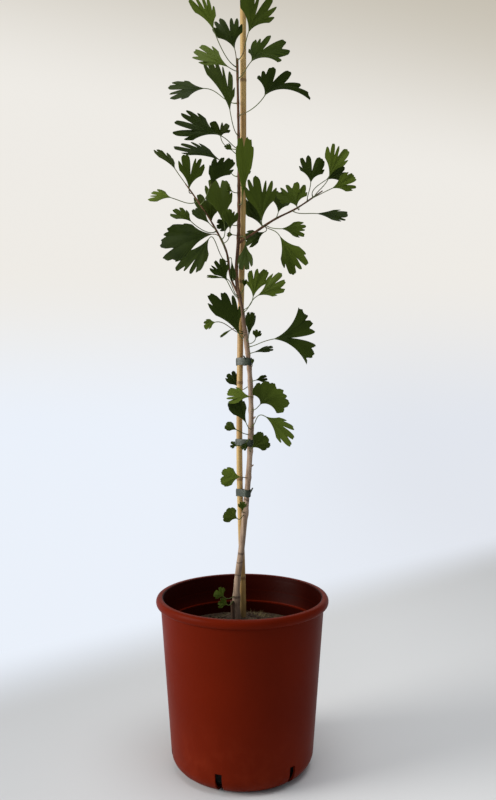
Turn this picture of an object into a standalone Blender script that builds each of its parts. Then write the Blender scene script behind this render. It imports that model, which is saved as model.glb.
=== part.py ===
"""A young ginkgo, tied to a bamboo cane, in a round nursery pot.

Z is up and the origin is the centre of the pot's flat underside. The front is towards -Y.
"""

import math
from typing import NamedTuple

import bmesh
import bpy
from mathutils import Vector

MM = 0.001

# The pot, a turned plastic shell.
POT_HEIGHT = 0.2375
RIM_RADIUS = 0.120
RIM_HEIGHT = 0.012
RIM_OVERHANG = 0.0065
RIM_LIP = 0.010
BASE_RADIUS = 0.0977
CORNER_RADIUS = 0.024
WALL = 0.002
LEDGE_DEPTH = 0.040
LEDGE_STEP = 0.0012
POT_SEGMENTS = 56
CORNER_STEPS = 4

# The drainage slots, cut through the pot's bottom corner.
SLOT_COUNT = 6
SLOT_FIRST_BEARING = -18.0
SLOT_WIDTH = 0.0095
SLOT_HEIGHT = 0.030
SLOT_INNER_RADIUS = 0.080

# The soil.
SOIL_DEPTH = 0.0565
SOIL_MOUND = 0.023

# The plant. Its shoots and leaves are written at DRAWN_HEIGHT and grow with LEADER_HEIGHT.
LEADER_HEIGHT = 0.772
DRAWN_HEIGHT = 0.772
TRUNK_RADIUS = 0.0048
TIP_RADIUS = 0.0015
TAPER = 1.2
FOOT_SWELLING = 0.0015
FOOT_SPREAD = 0.015
BRANCH_RADIUS = 0.0017
BRANCH_TIP_SHARE = 0.5
ROOT_DEPTH = 0.025
TRUNK_SIDES = 10
BRANCH_SIDES = 8

# The cane.
CANE_HEIGHT = 0.890
CANE_BURIED = 0.150
CANE_RADIUS = 0.0042
CANE_SIDES = 12

# The ties round the cane and the trunk.
TIE_WIDTH = 0.0100
TIE_THICKNESS = 0.0008
TIE_HEIGHTS = {"tie_lower": 0.176, "tie_middle": 0.246, "tie_upper": 0.359}

# The leaves.
STALK_RADIUS = 0.0006
BLADE_THICKNESS = 0.0008
BLADE_START = 0.07  # share of a leaf's reach where its stalk ends
FAN_STEPS = 10
SHOULDER_DROP = 0.45  # how far the fan's outer corners fall short, as a share
CUT_WIDTH = 0.12  # across the fan, whose half width is 1
CUT_SIDES = 1.3 * CUT_WIDTH

# Clearance between pieces that touch.
GAP = 0.0003
SOCKET_RISE = 0.03

GROWTH = LEADER_HEIGHT / DRAWN_HEIGHT
SOIL_EDGE_Z = POT_HEIGHT - SOIL_DEPTH
SOIL_TOP_Z = SOIL_EDGE_Z + SOIL_MOUND

# Shoots, in millimetres: right, back, height above the soil.
LEADER = (
    (-7, 0, -25), (-8, 0, 40), (0, 0, 110), (8, 0, 195), (12, 0, 270), (10, 0, 345), (1, 0, 420),
    (-8, 0, 475), (-5, 0, 540), (-5, 0, 660), (-7, 0, 772),
)
LEFT_BRANCH = (
    (-5, 0, 450), (-16, -3, 475), (-22, -8, 510), (-40, -16, 545), (-60, -21, 575), (-76, -24, 597),
)
RIGHT_BRANCH = ((-5, 0, 522), (20, -3, 538), (45, 2, 555), (76, 10, 572), (112, 22, 598))
SPUR = ((12, 0, 277), (15, -1, 280), (18, -2, 283))

# The cane's course, in millimetres: right, height above the soil.
CANE_COURSE = ((1, 10), (-4, 210), (-3, 380), (1, 600), (1, 850))


class Leaf(NamedTuple):
    """A leaf on its shoot: a fan with cuts in its edge, in millimetres and degrees."""

    shoot: str
    height: float  # where its stalk leaves the shoot, above the soil
    base: tuple  # right, back and up, from the shoot's centre to the foot of the blade
    aim: float  # bearing of the fan's middle from straight up, clockwise seen from the front
    spread: float
    length: float
    cuts: tuple  # each cut's place across the fan, -1 to 1, and its depth as a share of the length
    skew: float  # how much longer the side at 1 is than the middle, as a share
    turn: float
    lean: float
    droop: float


LEAVES = {
    "leaf_top_1": Leaf("leader", 770, (15, -15, 30), 20, 76, 62, ((0.05, 0.55),), 0, 20, 5, 4),
    "leaf_top_2": Leaf("leader", 760, (-30, -35, 34), -22, 56, 48,
        ((-0.45, 0.3), (-0.1, 0.35)), -0.2, 25, -10, 3),
    "leaf_top_3": Leaf("leader", 765, (-3, -15, 13), -18, 80, 48,
        ((-0.6, 0.15), (0.1, 0.4)), 0, 15, -8, 3),
    "leaf_top_4": Leaf("leader", 745, (18, -20, 15), 42, 110, 46, ((0.1, 0.5),), 0.4, -25, -5, 4),
    "leaf_top_5": Leaf("leader", 695, (35, -35, 15), 30, 110, 46,
        ((0, 0.45), (0.45, 0.4)), 0.45, 20, 10, 3),
    "leaf_top_6": Leaf("leader", 753, (-10, -45, -10), -62, 62, 50, ((-0.35, 0.15),), 0, 35, -15, 4),
    "leaf_top_7": Leaf("leader", 668, (-11, -20, 26), -10, 46, 72, ((0.2, 0.45),), -0.4, 30, 5, 2),
    "leaf_top_8": Leaf("leader", 712, (-45, 15, 25), -92, 70, 52, ((-0.1, 0.35),), 0, 45, -10, 3),
    "leaf_top_9": Leaf("leader", 650, (-25, -30, 10), -72, 66, 60,
        ((-0.35, 0.4), (0.1, 0.3)), -0.1, 20, -10, 3),
    "leaf_top_10": Leaf("leader", 650, (-25, 15, 20), -6, 115, 26, ((0, 0.6),), 0, 30, 10, 2),
    "leaf_top_11": Leaf("leader", 613, (-25, 15, 25), -60, 38, 62, ((0.2, 0.3),), -0.3, 40, 5, 6),
    "leaf_top_12": Leaf("leader", 574, (5, -34, 0), 3, 26, 79, ((-0.1, 0.12),), 0, 30, -4, 0),
    "leaf_left_1": Leaf("left_branch", 585, (-3, -20, 0), 7, 66, 46, ((0, 0.6),), 0, 25, -15, 3),
    "leaf_left_2": Leaf("left_branch", 590, (-20, 15, 30), -32, 45, 34,
        ((0.1, 0.25),), -0.4, 55, 15, 2),
    "leaf_left_3": Leaf("left_branch", 575, (-35, 5, 5), -75, 65, 30,
        ((-0.35, 0.3),), -0.15, 45, -10, 3),
    "leaf_left_4": Leaf("left_branch", 540, (-5, -25, 0), -44, 44, 31, (), 0, 50, 0, 1),
    "leaf_left_5": Leaf("left_branch", 543, (-3, 8, 5), -10, 66, 42, ((0.15, 0.2),), -0.25, 25, 10, 2),
    "leaf_left_6": Leaf("left_branch", 570, (15, -25, 20), 24, 66, 40,
        ((-0.2, 0.15),), 0.35, 35, -5, 2),
    "leaf_left_7": Leaf("left_branch", 525, (5, -15, 15), -9, 46, 70,
        ((-0.55, 0.15), (0.1, 0.15)), 0, 40, 5, 3),
    "leaf_left_8": Leaf("left_branch", 536, (-32, -20, 8), -48, 64, 29,
        ((-0.45, 0.25),), -0.25, 30, -10, 2),
    "leaf_left_9": Leaf("left_branch", 512, (-15, -35, 15), -97, 66, 68,
        ((-0.35, 0.2),), -0.15, 20, -8, 6),
    "leaf_left_10": Leaf("left_branch", 496, (-25, -15, 30), -146, 62, 56,
        ((0.3, 0.15),), 0.3, 20, 8, 2),
    "leaf_left_11": Leaf("leader", 447, (-16, -20, 20), -28, 70, 34, ((-0.3, 0.35),), 0, 20, -8, 2),
    "leaf_left_12": Leaf("left_branch", 520, (10, -30, 12), 2, 62, 30, ((0.2, 0.15),), 0, 25, -5, 2),
    "leaf_centre_1": Leaf("leader", 546, (-7, -12, -2), -76, 100, 23, (), 0, 20, -5, 1),
    "leaf_centre_2": Leaf("leader", 530, (10, -25, -10), 182, 50, 38, (), 0, 40, 0, 0),
    "leaf_right_1": Leaf("right_branch", 545, (-4, -25, 0), -2, 62, 64, ((0.1, 0.3),), 0, 15, -6, 3),
    "leaf_right_2": Leaf("right_branch", 541, (3, 8, 4), -24, 52, 52, (), 0.1, -15, 14, 2),
    "leaf_right_3": Leaf("right_branch", 556, (2, -10, 5), 14, 70, 34, ((0.15, 0.15),), 0, 15, 8, 2),
    "leaf_right_4": Leaf("right_branch", 572, (-2, -30, -5), -20, 120, 36, ((0.1, 0.2),), 0, 10, -6, 2),
    "leaf_right_5": Leaf("right_branch", 582, (3, -20, 20), 4, 88, 40, ((0.05, 0.55),), 0, 15, 6, 2),
    "leaf_right_6": Leaf("right_branch", 590, (17, -22, 20), 19, 62, 50, ((0.1, 0.3),), 0, 15, -5, 3),
    "leaf_right_7": Leaf("right_branch", 588, (18, 5, 25), 54, 62, 34, ((0.2, 0.15),), 0, 20, 10, 2),
    "leaf_right_8": Leaf("right_branch", 587, (23, -35, 5), 66, 62, 36, ((0.3, 0.4),), 0, 15, -8, 2),
    "leaf_right_9": Leaf("right_branch", 568, (30, -10, -6), 92, 22, 44, ((0.2, 0.15),), 0, 65, 0, 4),
    "leaf_right_10": Leaf("right_branch", 546, (20, -30, -10), 90, 50, 33, ((0.2, 0.2),), 0, 45, -5, 3),
    "leaf_right_11": Leaf("right_branch", 545, (20, -15, -15), 148, 56, 56,
        ((0.1, 0.15),), 0, 20, 5, 0),
    "leaf_right_12": Leaf("right_branch", 546, (0, 16, -6), -112, 70, 32, (), 0, 20, 10, 1),
    "leaf_middle_1": Leaf("leader", 430, (15, -15, 15), 9, 64, 43, ((0.15, 0.15),), 0.15, 10, 5, 2),
    "leaf_middle_2": Leaf("leader", 427, (20, -25, 20), 60, 62, 43, ((0.3, 0.15),), -0.15, 10, -8, 3),
    "leaf_middle_3": Leaf("leader", 396, (-7, -30, -3), -23, 52, 66, ((-0.15, 0.15),), -0.2, 20, -5, 4),
    "leaf_middle_4": Leaf("leader", 398, (-40, -12, 15), -100, 80, 17, (), 0, 30, 0, 2),
    "leaf_middle_5": Leaf("leader", 388, (3, -25, 3), 6, 34, 36, (), 0, 40, 5, 1),
    "leaf_middle_6": Leaf("leader", 379, (35, -30, 10), 81, 108, 58, ((0.13, 0.6),), 0, 10, -5, 3),
    "leaf_middle_7": Leaf("leader", 325, (-15, 20, -3), -34, 66, 27, ((0.1, 0.15),), 0, 20, 5, 1),
    "leaf_middle_8": Leaf("leader", 311, (0, -25, 0), -80, 60, 33, (), 0, 55, -5, 3),
    "leaf_middle_9": Leaf("leader", 266, (-6, -22, 8), -26, 52, 41, (), 0, 15, -5, 3),
    "leaf_middle_10": Leaf("leader", 292, (12, -15, 8), 40, 150, 38, ((0.05, 0.12),), 0.2, 5, -5, 2),
    "leaf_middle_11": Leaf("leader", 270, (18, -40, 16), 122, 58, 46, (), 0.25, 25, -5, 3),
    "leaf_middle_12": Leaf("leader", 235, (2, -18, 6), 54, 100, 27, (), 0, 15, -5, 1),
    "leaf_low_1": Leaf("leader", 198, (-10, -18, 3), -84, 88, 28, ((0.05, 0.12),), 0, 15, -5, 2),
    "leaf_low_2": Leaf("leader", 146, (-10, -16, -3), -58, 100, 21, (), 0, 15, -5, 1),
    "leaf_low_3": Leaf("leader", 32, (-17, -20, 4), -44, 110, 15, (), 0, 30, -5, 1),
}


def clear_scene():
    """Take away whatever the file holds."""
    for thing in list(bpy.data.objects):
        bpy.data.objects.remove(thing, do_unlink=True)


def plain_material(name, colour, roughness, metallic=0.0):
    """A Principled material with one colour."""
    material = bpy.data.materials.new(name)
    material.use_nodes = True
    shader = material.node_tree.nodes["Principled BSDF"]
    shader.inputs["Base Color"].default_value = (*colour, 1.0)
    shader.inputs["Roughness"].default_value = roughness
    shader.inputs["Metallic"].default_value = metallic
    return material


def add_object(name, bm, material, sharp_angle=40.0):
    """Turn a bmesh into a smooth-shaded object with outward faces."""
    bmesh.ops.recalc_face_normals(bm, faces=bm.faces)
    mesh = bpy.data.meshes.new(name)
    bm.to_mesh(mesh)
    bm.free()
    mesh.materials.append(material)
    mesh.shade_smooth()
    mesh.set_sharp_from_angle(angle=math.radians(sharp_angle))
    thing = bpy.data.objects.new(name, mesh)
    bpy.context.scene.collection.objects.link(thing)
    return thing


def apply_boolean(target, tool, operation):
    """Cut a tool from a target, or fuse it on, and take the tool away."""
    boolean = target.modifiers.new(operation.lower(), "BOOLEAN")
    boolean.operation = operation
    boolean.solver = "EXACT"
    boolean.object = tool
    bpy.context.view_layer.objects.active = target
    bpy.ops.object.modifier_apply(modifier=boolean.name)
    bpy.data.objects.remove(tool, do_unlink=True)


def turned_solid(profile, segments):
    """Spin a profile, both of whose ends lie on the Z axis, into a closed solid."""
    bm = bmesh.new()
    points = [bm.verts.new((radius, 0.0, height)) for radius, height in profile]
    edges = [bm.edges.new(pair) for pair in zip(points, points[1:])]
    bmesh.ops.spin(bm, geom=points + edges, axis=(0, 0, 1), cent=(0, 0, 0), angle=math.tau,
                   steps=segments, use_merge=True)
    bmesh.ops.remove_doubles(bm, verts=bm.verts, dist=0.00001)
    return bm


def smooth_course(points, step):
    """Read points along a Catmull-Rom curve through vectors, about one step apart."""
    course = []
    for index in range(len(points) - 1):
        before = points[max(index - 1, 0)]
        start = points[index]
        end = points[index + 1]
        after = points[min(index + 2, len(points) - 1)]
        pieces = max(1, round((end - start).length / step))
        for piece in range(pieces):
            t = piece / pieces
            course.append(0.5 * (2 * start + (end - before) * t
                                 + (2 * before - 5 * start + 4 * end - after) * t * t
                                 + (3 * start - before - 3 * end + after) * t * t * t))
    course.append(points[-1])
    return course


def tube(course, sides):
    """A closed tube along a course of (x, y, z, radius) vectors, its rings kept from twisting."""
    bm = bmesh.new()
    rings = []
    across = Vector((1.0, 0.0, 0.0))
    for index, point in enumerate(course):
        centre = point.to_3d()
        ahead = course[min(index + 1, len(course) - 1)].to_3d()
        behind = course[max(index - 1, 0)].to_3d()
        along = (ahead - behind).normalized()
        across = (across - along * along.dot(across)).normalized()
        other = along.cross(across)
        ring = []
        for side in range(sides):
            angle = math.tau * side / sides
            arm = across * math.cos(angle) + other * math.sin(angle)
            ring.append(bm.verts.new(centre + arm * point.w))
        rings.append(ring)
    for lower, upper in zip(rings, rings[1:]):
        for side in range(sides):
            turn = (side + 1) % sides
            bm.faces.new((lower[side], lower[turn], upper[turn], upper[side]))
    bm.faces.new(list(reversed(rings[0])))
    bm.faces.new(rings[-1])
    return bm


def shoot_points(rows):
    """A shoot's points in metres above the ground."""
    scale = MM * GROWTH
    return [Vector((right * scale, back * scale, SOIL_TOP_Z + up * scale)) for right, back, up in rows]


def leader_course():
    """The trunk's centre line, its radius tapering to the tip and swelling at the soil."""
    points = shoot_points(LEADER)
    points[0].z = SOIL_TOP_Z - ROOT_DEPTH
    course = []
    for point in smooth_course(points, 0.015):
        height = point.z - SOIL_TOP_Z
        left = 1.0 - min(max(height / LEADER_HEIGHT, 0.0), 1.0)
        radius = TIP_RADIUS + (TRUNK_RADIUS - TIP_RADIUS) * left ** TAPER
        radius += FOOT_SWELLING * math.exp(-(height / FOOT_SPREAD) ** 2)
        course.append(Vector((*point, radius)))
    return course


def branch_course(rows, step):
    """A branch's centre line, its radius shrinking evenly to the tip."""
    centres = smooth_course(shoot_points(rows), step)
    course = []
    for index, point in enumerate(centres):
        share = 1.0 - (1.0 - BRANCH_TIP_SHARE) * index / (len(centres) - 1)
        course.append(Vector((*point, BRANCH_RADIUS * share)))
    return course


def at_height(course, z):
    """The centre, direction and radius of a course where it crosses a height."""
    for lower, upper in zip(course, course[1:]):
        if lower.z <= z <= upper.z:
            share = (z - lower.z) / (upper.z - lower.z)
            point = lower.lerp(upper, share)
            return point.to_3d(), (upper - lower).to_3d().normalized(), point.w
    return course[-1].to_3d(), (course[-1] - course[-2]).to_3d().normalized(), course[-1].w


def wall_slope():
    """How much the pot's outside widens for each unit of height."""
    return (RIM_RADIUS - RIM_OVERHANG - BASE_RADIUS) / (POT_HEIGHT - RIM_HEIGHT)


def wall_radius(z, inset):
    """The radius of the pot's side at a height, measured inset from its outside."""
    return BASE_RADIUS + z * wall_slope() - inset


def shell_profile(inset):
    """From the axis, along the floor and round the bottom corner, inset from the pot's outside."""
    slope = math.atan(wall_slope())
    centre = BASE_RADIUS + CORNER_RADIUS * math.tan(slope) - CORNER_RADIUS / math.cos(slope)
    radius = CORNER_RADIUS - inset
    profile = [(0.0, inset)]
    for step in range(CORNER_STEPS + 1):
        angle = -math.pi / 2 + (math.pi / 2 - slope) * step / CORNER_STEPS
        profile.append((centre + radius * math.cos(angle), CORNER_RADIUS + radius * math.sin(angle)))
    return profile


def pot_profile():
    """The pot's outside, its rolled rim and its inside, from the axis and back to it."""
    top = POT_HEIGHT
    bead_foot = top - RIM_HEIGHT
    ledge = top - LEDGE_DEPTH
    inner = RIM_RADIUS - RIM_LIP
    lining = WALL + LEDGE_STEP
    profile = shell_profile(0.0)
    profile.append((wall_radius(bead_foot, 0.0), bead_foot))
    profile.append((RIM_RADIUS - 0.10 * RIM_LIP, bead_foot + 0.04 * RIM_HEIGHT))
    profile.append((RIM_RADIUS, bead_foot + 0.30 * RIM_HEIGHT))
    profile.append((RIM_RADIUS, bead_foot + 0.65 * RIM_HEIGHT))
    profile.append((RIM_RADIUS - 0.12 * RIM_LIP, bead_foot + 0.86 * RIM_HEIGHT))
    profile.append((RIM_RADIUS - 0.35 * RIM_LIP, top))
    profile.append((inner + 0.25 * RIM_LIP, top))
    profile.append((inner + 0.05 * RIM_LIP, top - 0.12 * RIM_HEIGHT))
    profile.append((inner, top - 0.35 * RIM_HEIGHT))
    profile.append((inner, ledge + LEDGE_STEP))
    profile.append((wall_radius(ledge, lining), ledge))
    profile.extend(reversed(shell_profile(lining)))
    return profile


def soil_profile():
    """The soil, a gap off the pot's inside, mounded towards the trunk."""
    inset = WALL + LEDGE_STEP + GAP
    edge = wall_radius(SOIL_EDGE_Z, inset)
    profile = shell_profile(inset)
    profile.append((edge, SOIL_EDGE_Z))
    rings = 6
    for ring in range(1, rings + 1):
        share = ring / rings
        rise = 0.5 - 0.5 * math.cos(math.pi * share)
        profile.append((edge * (1.0 - share), SOIL_EDGE_Z + SOIL_MOUND * rise))
    return profile


def slot_cutter(bearing):
    """A square bar that cuts one drainage slot, out through the bottom corner."""
    bm = bmesh.new()
    half = SLOT_WIDTH / 2
    outline = [(-half, -SLOT_WIDTH), (half, -SLOT_WIDTH), (half, SLOT_HEIGHT), (-half, SLOT_HEIGHT)]
    direction = Vector((math.sin(math.radians(bearing)), -math.cos(math.radians(bearing)), 0.0))
    sideways = Vector((-direction.y, direction.x, 0.0))
    start = direction * SLOT_INNER_RADIUS
    ring = [bm.verts.new(start + sideways * side + Vector((0, 0, height))) for side, height in outline]
    face = bm.faces.new(ring)
    moved = bmesh.ops.extrude_face_region(bm, geom=[face])
    corners = [item for item in moved["geom"] if isinstance(item, bmesh.types.BMVert)]
    bmesh.ops.translate(bm, verts=corners, vec=direction * (RIM_RADIUS - SLOT_INNER_RADIUS))
    return bm


def make_pot():
    """The nursery pot with its drainage slots."""
    plastic = plain_material("pot", (0.20, 0.022, 0.010), 0.42)
    pot = add_object("pot", turned_solid(pot_profile(), POT_SEGMENTS), plastic)
    for index in range(SLOT_COUNT):
        bearing = SLOT_FIRST_BEARING + index * 360.0 / SLOT_COUNT
        cutter = add_object("slot_cutter", slot_cutter(bearing), plastic)
        apply_boolean(pot, cutter, "DIFFERENCE")


def make_soil(leader, cane):
    """The soil, with a socket for the trunk's foot and one for the cane."""
    earth = plain_material("soil", (0.045, 0.030, 0.016), 0.95)
    soil = add_object("soil", turned_solid(soil_profile(), POT_SEGMENTS), earth)
    for course, sides in ((leader, TRUNK_SIDES), (cane, CANE_SIDES)):
        socket = [point.copy() for point in course if point.z < SOIL_TOP_Z + SOCKET_RISE]
        for point in socket:
            point.w += GAP
        socket[0].z -= GAP
        cutter = add_object("socket_cutter", tube(socket, sides), earth)
        apply_boolean(soil, cutter, "DIFFERENCE")


def make_stem(shoots):
    """The trunk with its two branches and the spur, one piece of wood."""
    wood = plain_material("stem", (0.16, 0.10, 0.065), 0.85)
    stem = add_object("stem", tube(shoots["leader"], TRUNK_SIDES), wood, 60.0)
    for name in ("left_branch", "right_branch", "spur"):
        branch = add_object(name, tube(shoots[name], BRANCH_SIDES), wood, 60.0)
        apply_boolean(stem, branch, "UNION")


def cane_course(leader):
    """The cane's centre line, resting against the back of the trunk all the way up."""
    points = []
    foot = SOIL_TOP_Z - CANE_BURIED
    for right, height in CANE_COURSE:
        z = height * MM * GROWTH
        if z > CANE_HEIGHT - 0.02:
            break
        centre, _, radius = at_height(leader, SOIL_TOP_Z + z)
        back = centre.y + radius + CANE_RADIUS + 2 * GAP
        points.append(Vector((right * MM * GROWTH, back, SOIL_TOP_Z + z, CANE_RADIUS)))
    points.insert(0, Vector((points[0].x, points[0].y + 0.002, foot, CANE_RADIUS)))
    top = points[-1].copy()
    top.z = SOIL_TOP_Z + CANE_HEIGHT
    points.append(top)
    return smooth_course(points, 0.030)


def make_cane(course):
    """The bamboo cane."""
    bamboo = plain_material("cane", (0.46, 0.27, 0.09), 0.5)
    add_object("cane", tube(course, CANE_SIDES), bamboo, 60.0)


def hull_outline(circles, clearance, count):
    """Points round the outside of circles, as a tight band lies on them."""
    outline = []
    for index in range(count):
        angle = math.tau * index / count
        arm = Vector((math.cos(angle), math.sin(angle), 0.0))
        reaches = [centre.dot(arm) + radius for centre, radius in circles]
        centre, radius = circles[reaches.index(max(reaches))]
        outline.append(centre + arm * (radius + clearance))
    return outline


def make_tie(name, height, leader, cane):
    """A band of tape round the trunk and the cane."""
    tape = plain_material(name, (0.012, 0.022, 0.012), 0.5)
    bm = bmesh.new()
    levels = []
    count = 28
    for z in (height - TIE_WIDTH / 2, height + TIE_WIDTH / 2):
        circles = []
        for course in (leader, cane):
            centre, _, radius = at_height(course, z)
            circles.append((centre, radius))
        inside = hull_outline(circles, 2 * GAP, count)
        outside = hull_outline(circles, 2 * GAP + TIE_THICKNESS, count)
        for outline in (inside, outside):
            levels.append([bm.verts.new((point.x, point.y, z)) for point in outline])
    inner_low, outer_low, inner_high, outer_high = levels
    for index in range(count):
        turn = (index + 1) % count
        for first, second in ((outer_low, outer_high), (outer_high, inner_high),
                              (inner_high, inner_low), (inner_low, outer_low)):
            bm.faces.new((first[index], first[turn], second[turn], second[index]))
    add_object(name, bm, tape)


def blade_point(leaf, base, bearing, distance, longest):
    """A point of a blade, at a bearing and a distance in metres from its foot."""
    angle = math.radians(bearing - leaf.aim)
    along = distance * math.cos(angle)
    across = distance * math.sin(angle)
    back = across * math.tan(math.radians(leaf.turn)) + along * math.tan(math.radians(leaf.lean))
    right = distance * math.sin(math.radians(bearing))
    sag = leaf.droop * MM * GROWTH * (distance / longest) ** 2
    up = distance * math.cos(math.radians(bearing)) - sag
    return base + Vector((right, back, up))


def blade_normal(leaf, base, bearing, distance, longest):
    """Which way a blade's back faces at a point, from its surface just around it."""
    wide = (blade_point(leaf, base, bearing + 1.0, distance, longest)
            - blade_point(leaf, base, bearing - 1.0, distance, longest))
    long = (blade_point(leaf, base, bearing, distance * 1.02, longest)
            - blade_point(leaf, base, bearing, distance * 0.98, longest))
    return wide.cross(long).normalized()


def stalk_course(start, outwards, base, axis_direction, rings):
    """Points along a stalk that leaves the shoot squarely and meets the blade along its axis."""
    length = (base - start).length
    first = start + outwards * (0.35 * length)
    last = base - axis_direction * (0.35 * length)
    points = []
    for ring in range(rings):
        t = ring / (rings - 1)
        points.append(start * (1 - t) ** 3 + first * (3 * t * (1 - t) ** 2)
                      + last * (3 * t * t * (1 - t)) + base * t ** 3)
    return points


def fan_places(leaf):
    """Places across a leaf from -1 to 1: evenly spread, with three at each cut."""
    places = [2.0 * step / FAN_STEPS - 1.0 for step in range(FAN_STEPS + 1)]
    for cut, _ in leaf.cuts:
        kept = [place for place in places if abs(place) == 1.0 or abs(place - cut) > 1.4 * CUT_SIDES]
        places = kept + [cut - CUT_SIDES, cut, cut + CUT_SIDES]
    return sorted(places)


def fan_reach(leaf, place, share):
    """How far a point lies from the blade's foot: a cut is deepest at the edge and fades inwards."""
    whole = leaf.length * (1.0 + leaf.skew * place) * (1.0 - SHOULDER_DROP * place ** 4)
    left = 1.0
    for cut, depth in leaf.cuts:
        left *= 1.0 - depth * math.exp(-((place - cut) / CUT_WIDTH) ** 2)
    return whole * share * (1.0 - (1.0 - left) * share)


def leaf_body(course, leaf):
    """One leaf: a thin fan on a square stalk, closed all round."""
    scale = MM * GROWTH
    centre, direction, radius = at_height(course, SOIL_TOP_Z + leaf.height * scale)
    run = Vector(leaf.base) * scale
    base = centre + run
    outwards = (run - direction * direction.dot(run)).normalized()
    start = centre + outwards * (radius + GAP)
    places = fan_places(leaf)
    longest = max(fan_reach(leaf, place, 1.0) for place in places) * scale
    bm = bmesh.new()
    grid, fronts, backs = [], [], []
    for share in (BLADE_START, 0.5, 1.0):
        points, front, back = [], [], []
        for place in places:
            bearing = leaf.aim + place * leaf.spread / 2
            where = (leaf, base, bearing, fan_reach(leaf, place, share) * scale, longest)
            point = blade_point(*where)
            offset = blade_normal(*where) * BLADE_THICKNESS / 2
            points.append(point)
            front.append(bm.verts.new(point - offset))
            back.append(bm.verts.new(point + offset))
        grid.append(points)
        fronts.append(front)
        backs.append(back)
    last_row, last_column = len(grid) - 1, len(places) - 1
    for row in range(last_row):
        for column in range(last_column):
            for side in (fronts, backs):
                bm.faces.new((side[row][column], side[row][column + 1],
                              side[row + 1][column + 1], side[row + 1][column]))
        for column in (0, last_column):
            bm.faces.new((fronts[row][column], fronts[row + 1][column],
                          backs[row + 1][column], backs[row][column]))
    for column in range(last_column):
        bm.faces.new((fronts[-1][column], fronts[-1][column + 1],
                      backs[-1][column + 1], backs[-1][column]))

    middle = (grid[0][0] + grid[0][-1]) / 2
    aim = (middle - base).normalized()
    across = (grid[0][-1] - grid[0][0]).normalized()
    across = (across - aim * aim.dot(across)).normalized()
    stalk = stalk_course(start, outwards, base, aim, 5)
    rings = []
    for index in reversed(range(len(stalk))):
        ahead = stalk[min(index + 1, len(stalk) - 1)]
        behind = stalk[max(index - 1, 0)]
        along = (ahead - behind).normalized()
        if index == 0:
            along = outwards
        across = (across - along * along.dot(across)).normalized()
        facing = across.cross(along)
        corners = ((-1, -1), (1, -1), (1, 1), (-1, 1))
        rings.append([bm.verts.new(stalk[index] + (across * side + facing * depth) * STALK_RADIUS)
                      for side, depth in corners])
    for near, far in zip(rings, rings[1:]):
        for side in range(4):
            turn_to = (side + 1) % 4
            bm.faces.new((near[side], near[turn_to], far[turn_to], far[side]))
    bm.faces.new(rings[-1])
    top = rings[0]
    middle_column = last_column // 2
    for near, far, row in ((top[0], top[1], fronts[0]), (top[3], top[2], backs[0])):
        bm.faces.new((near, row[middle_column], far))
        for column in range(last_column):
            corner = near if column < middle_column else far
            bm.faces.new((corner, row[column], row[column + 1]))
    bm.faces.new((top[0], fronts[0][0], backs[0][0], top[3]))
    bm.faces.new((top[1], fronts[0][-1], backs[0][-1], top[2]))
    bmesh.ops.triangulate(bm, faces=bm.faces)
    return bm


def make_leaves(shoots):
    """Every leaf with its own stalk."""
    for index, (name, leaf) in enumerate(LEAVES.items()):
        lightness = 0.75 + 0.5 * ((index * 5) % 8) / 7
        green = (0.055 * lightness, 0.125 * lightness, 0.022 * lightness)
        tissue = plain_material(name, green, 0.55)
        add_object(name, leaf_body(shoots[leaf.shoot], leaf), tissue, 60.0)


def main():
    """Build the pot, the soil, the plant, its cane and its ties."""
    clear_scene()
    shoots = {
        "leader": leader_course(),
        "left_branch": branch_course(LEFT_BRANCH, 0.012),
        "right_branch": branch_course(RIGHT_BRANCH, 0.012),
        "spur": branch_course(SPUR, 0.004),
    }
    cane = cane_course(shoots["leader"])
    make_pot()
    make_soil(shoots["leader"], cane)
    make_stem(shoots)
    make_cane(cane)
    for name, height in TIE_HEIGHTS.items():
        make_tie(name, SOIL_TOP_Z + height * GROWTH, shoots["leader"], cane)
    make_leaves(shoots)


main()
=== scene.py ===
"""Looks for a young ginkgo, tied to a bamboo cane, in a round nursery pot.

Lengths are in metres unless a name or a comment says millimetres. The front is towards -Y.
"""

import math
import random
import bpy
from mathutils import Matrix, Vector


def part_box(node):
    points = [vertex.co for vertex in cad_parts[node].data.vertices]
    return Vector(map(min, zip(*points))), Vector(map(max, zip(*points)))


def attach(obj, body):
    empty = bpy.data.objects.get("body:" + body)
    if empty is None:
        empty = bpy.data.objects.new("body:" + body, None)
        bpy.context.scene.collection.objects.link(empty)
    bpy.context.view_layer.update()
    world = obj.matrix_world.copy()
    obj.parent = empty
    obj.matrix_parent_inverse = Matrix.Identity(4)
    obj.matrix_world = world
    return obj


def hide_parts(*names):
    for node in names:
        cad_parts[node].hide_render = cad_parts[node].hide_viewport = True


bl_info = {
    "name": "Potted ginkgo",
    "version": (1, 0, 0),
    "blender": (4, 5, 0),
    "location": "3D View > Sidebar > Ginkgo",
    "description": "Builds the pot, soil, stem, cane, ties and leaves of a young potted ginkgo",
    "category": "Add Mesh",
}

from functools import partial
from typing import NamedTuple

import bpy
from bpy.props import FloatProperty, FloatVectorProperty, IntProperty, PointerProperty
from mathutils import Vector, noise

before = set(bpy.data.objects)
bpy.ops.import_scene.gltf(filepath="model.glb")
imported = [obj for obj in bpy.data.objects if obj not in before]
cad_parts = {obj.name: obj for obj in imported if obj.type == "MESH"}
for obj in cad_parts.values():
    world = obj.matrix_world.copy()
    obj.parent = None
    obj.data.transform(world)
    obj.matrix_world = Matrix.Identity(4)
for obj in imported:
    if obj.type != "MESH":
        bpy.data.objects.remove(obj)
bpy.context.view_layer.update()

MM = 0.001
RIM_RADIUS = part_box("pot")[1].x
POT_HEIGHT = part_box("pot")[1].z
SOIL_TOP_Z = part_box("soil")[1].z
CANE_TOP_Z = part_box("cane")[1].z
CANE_FOOT_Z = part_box("cane")[0].z

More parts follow.
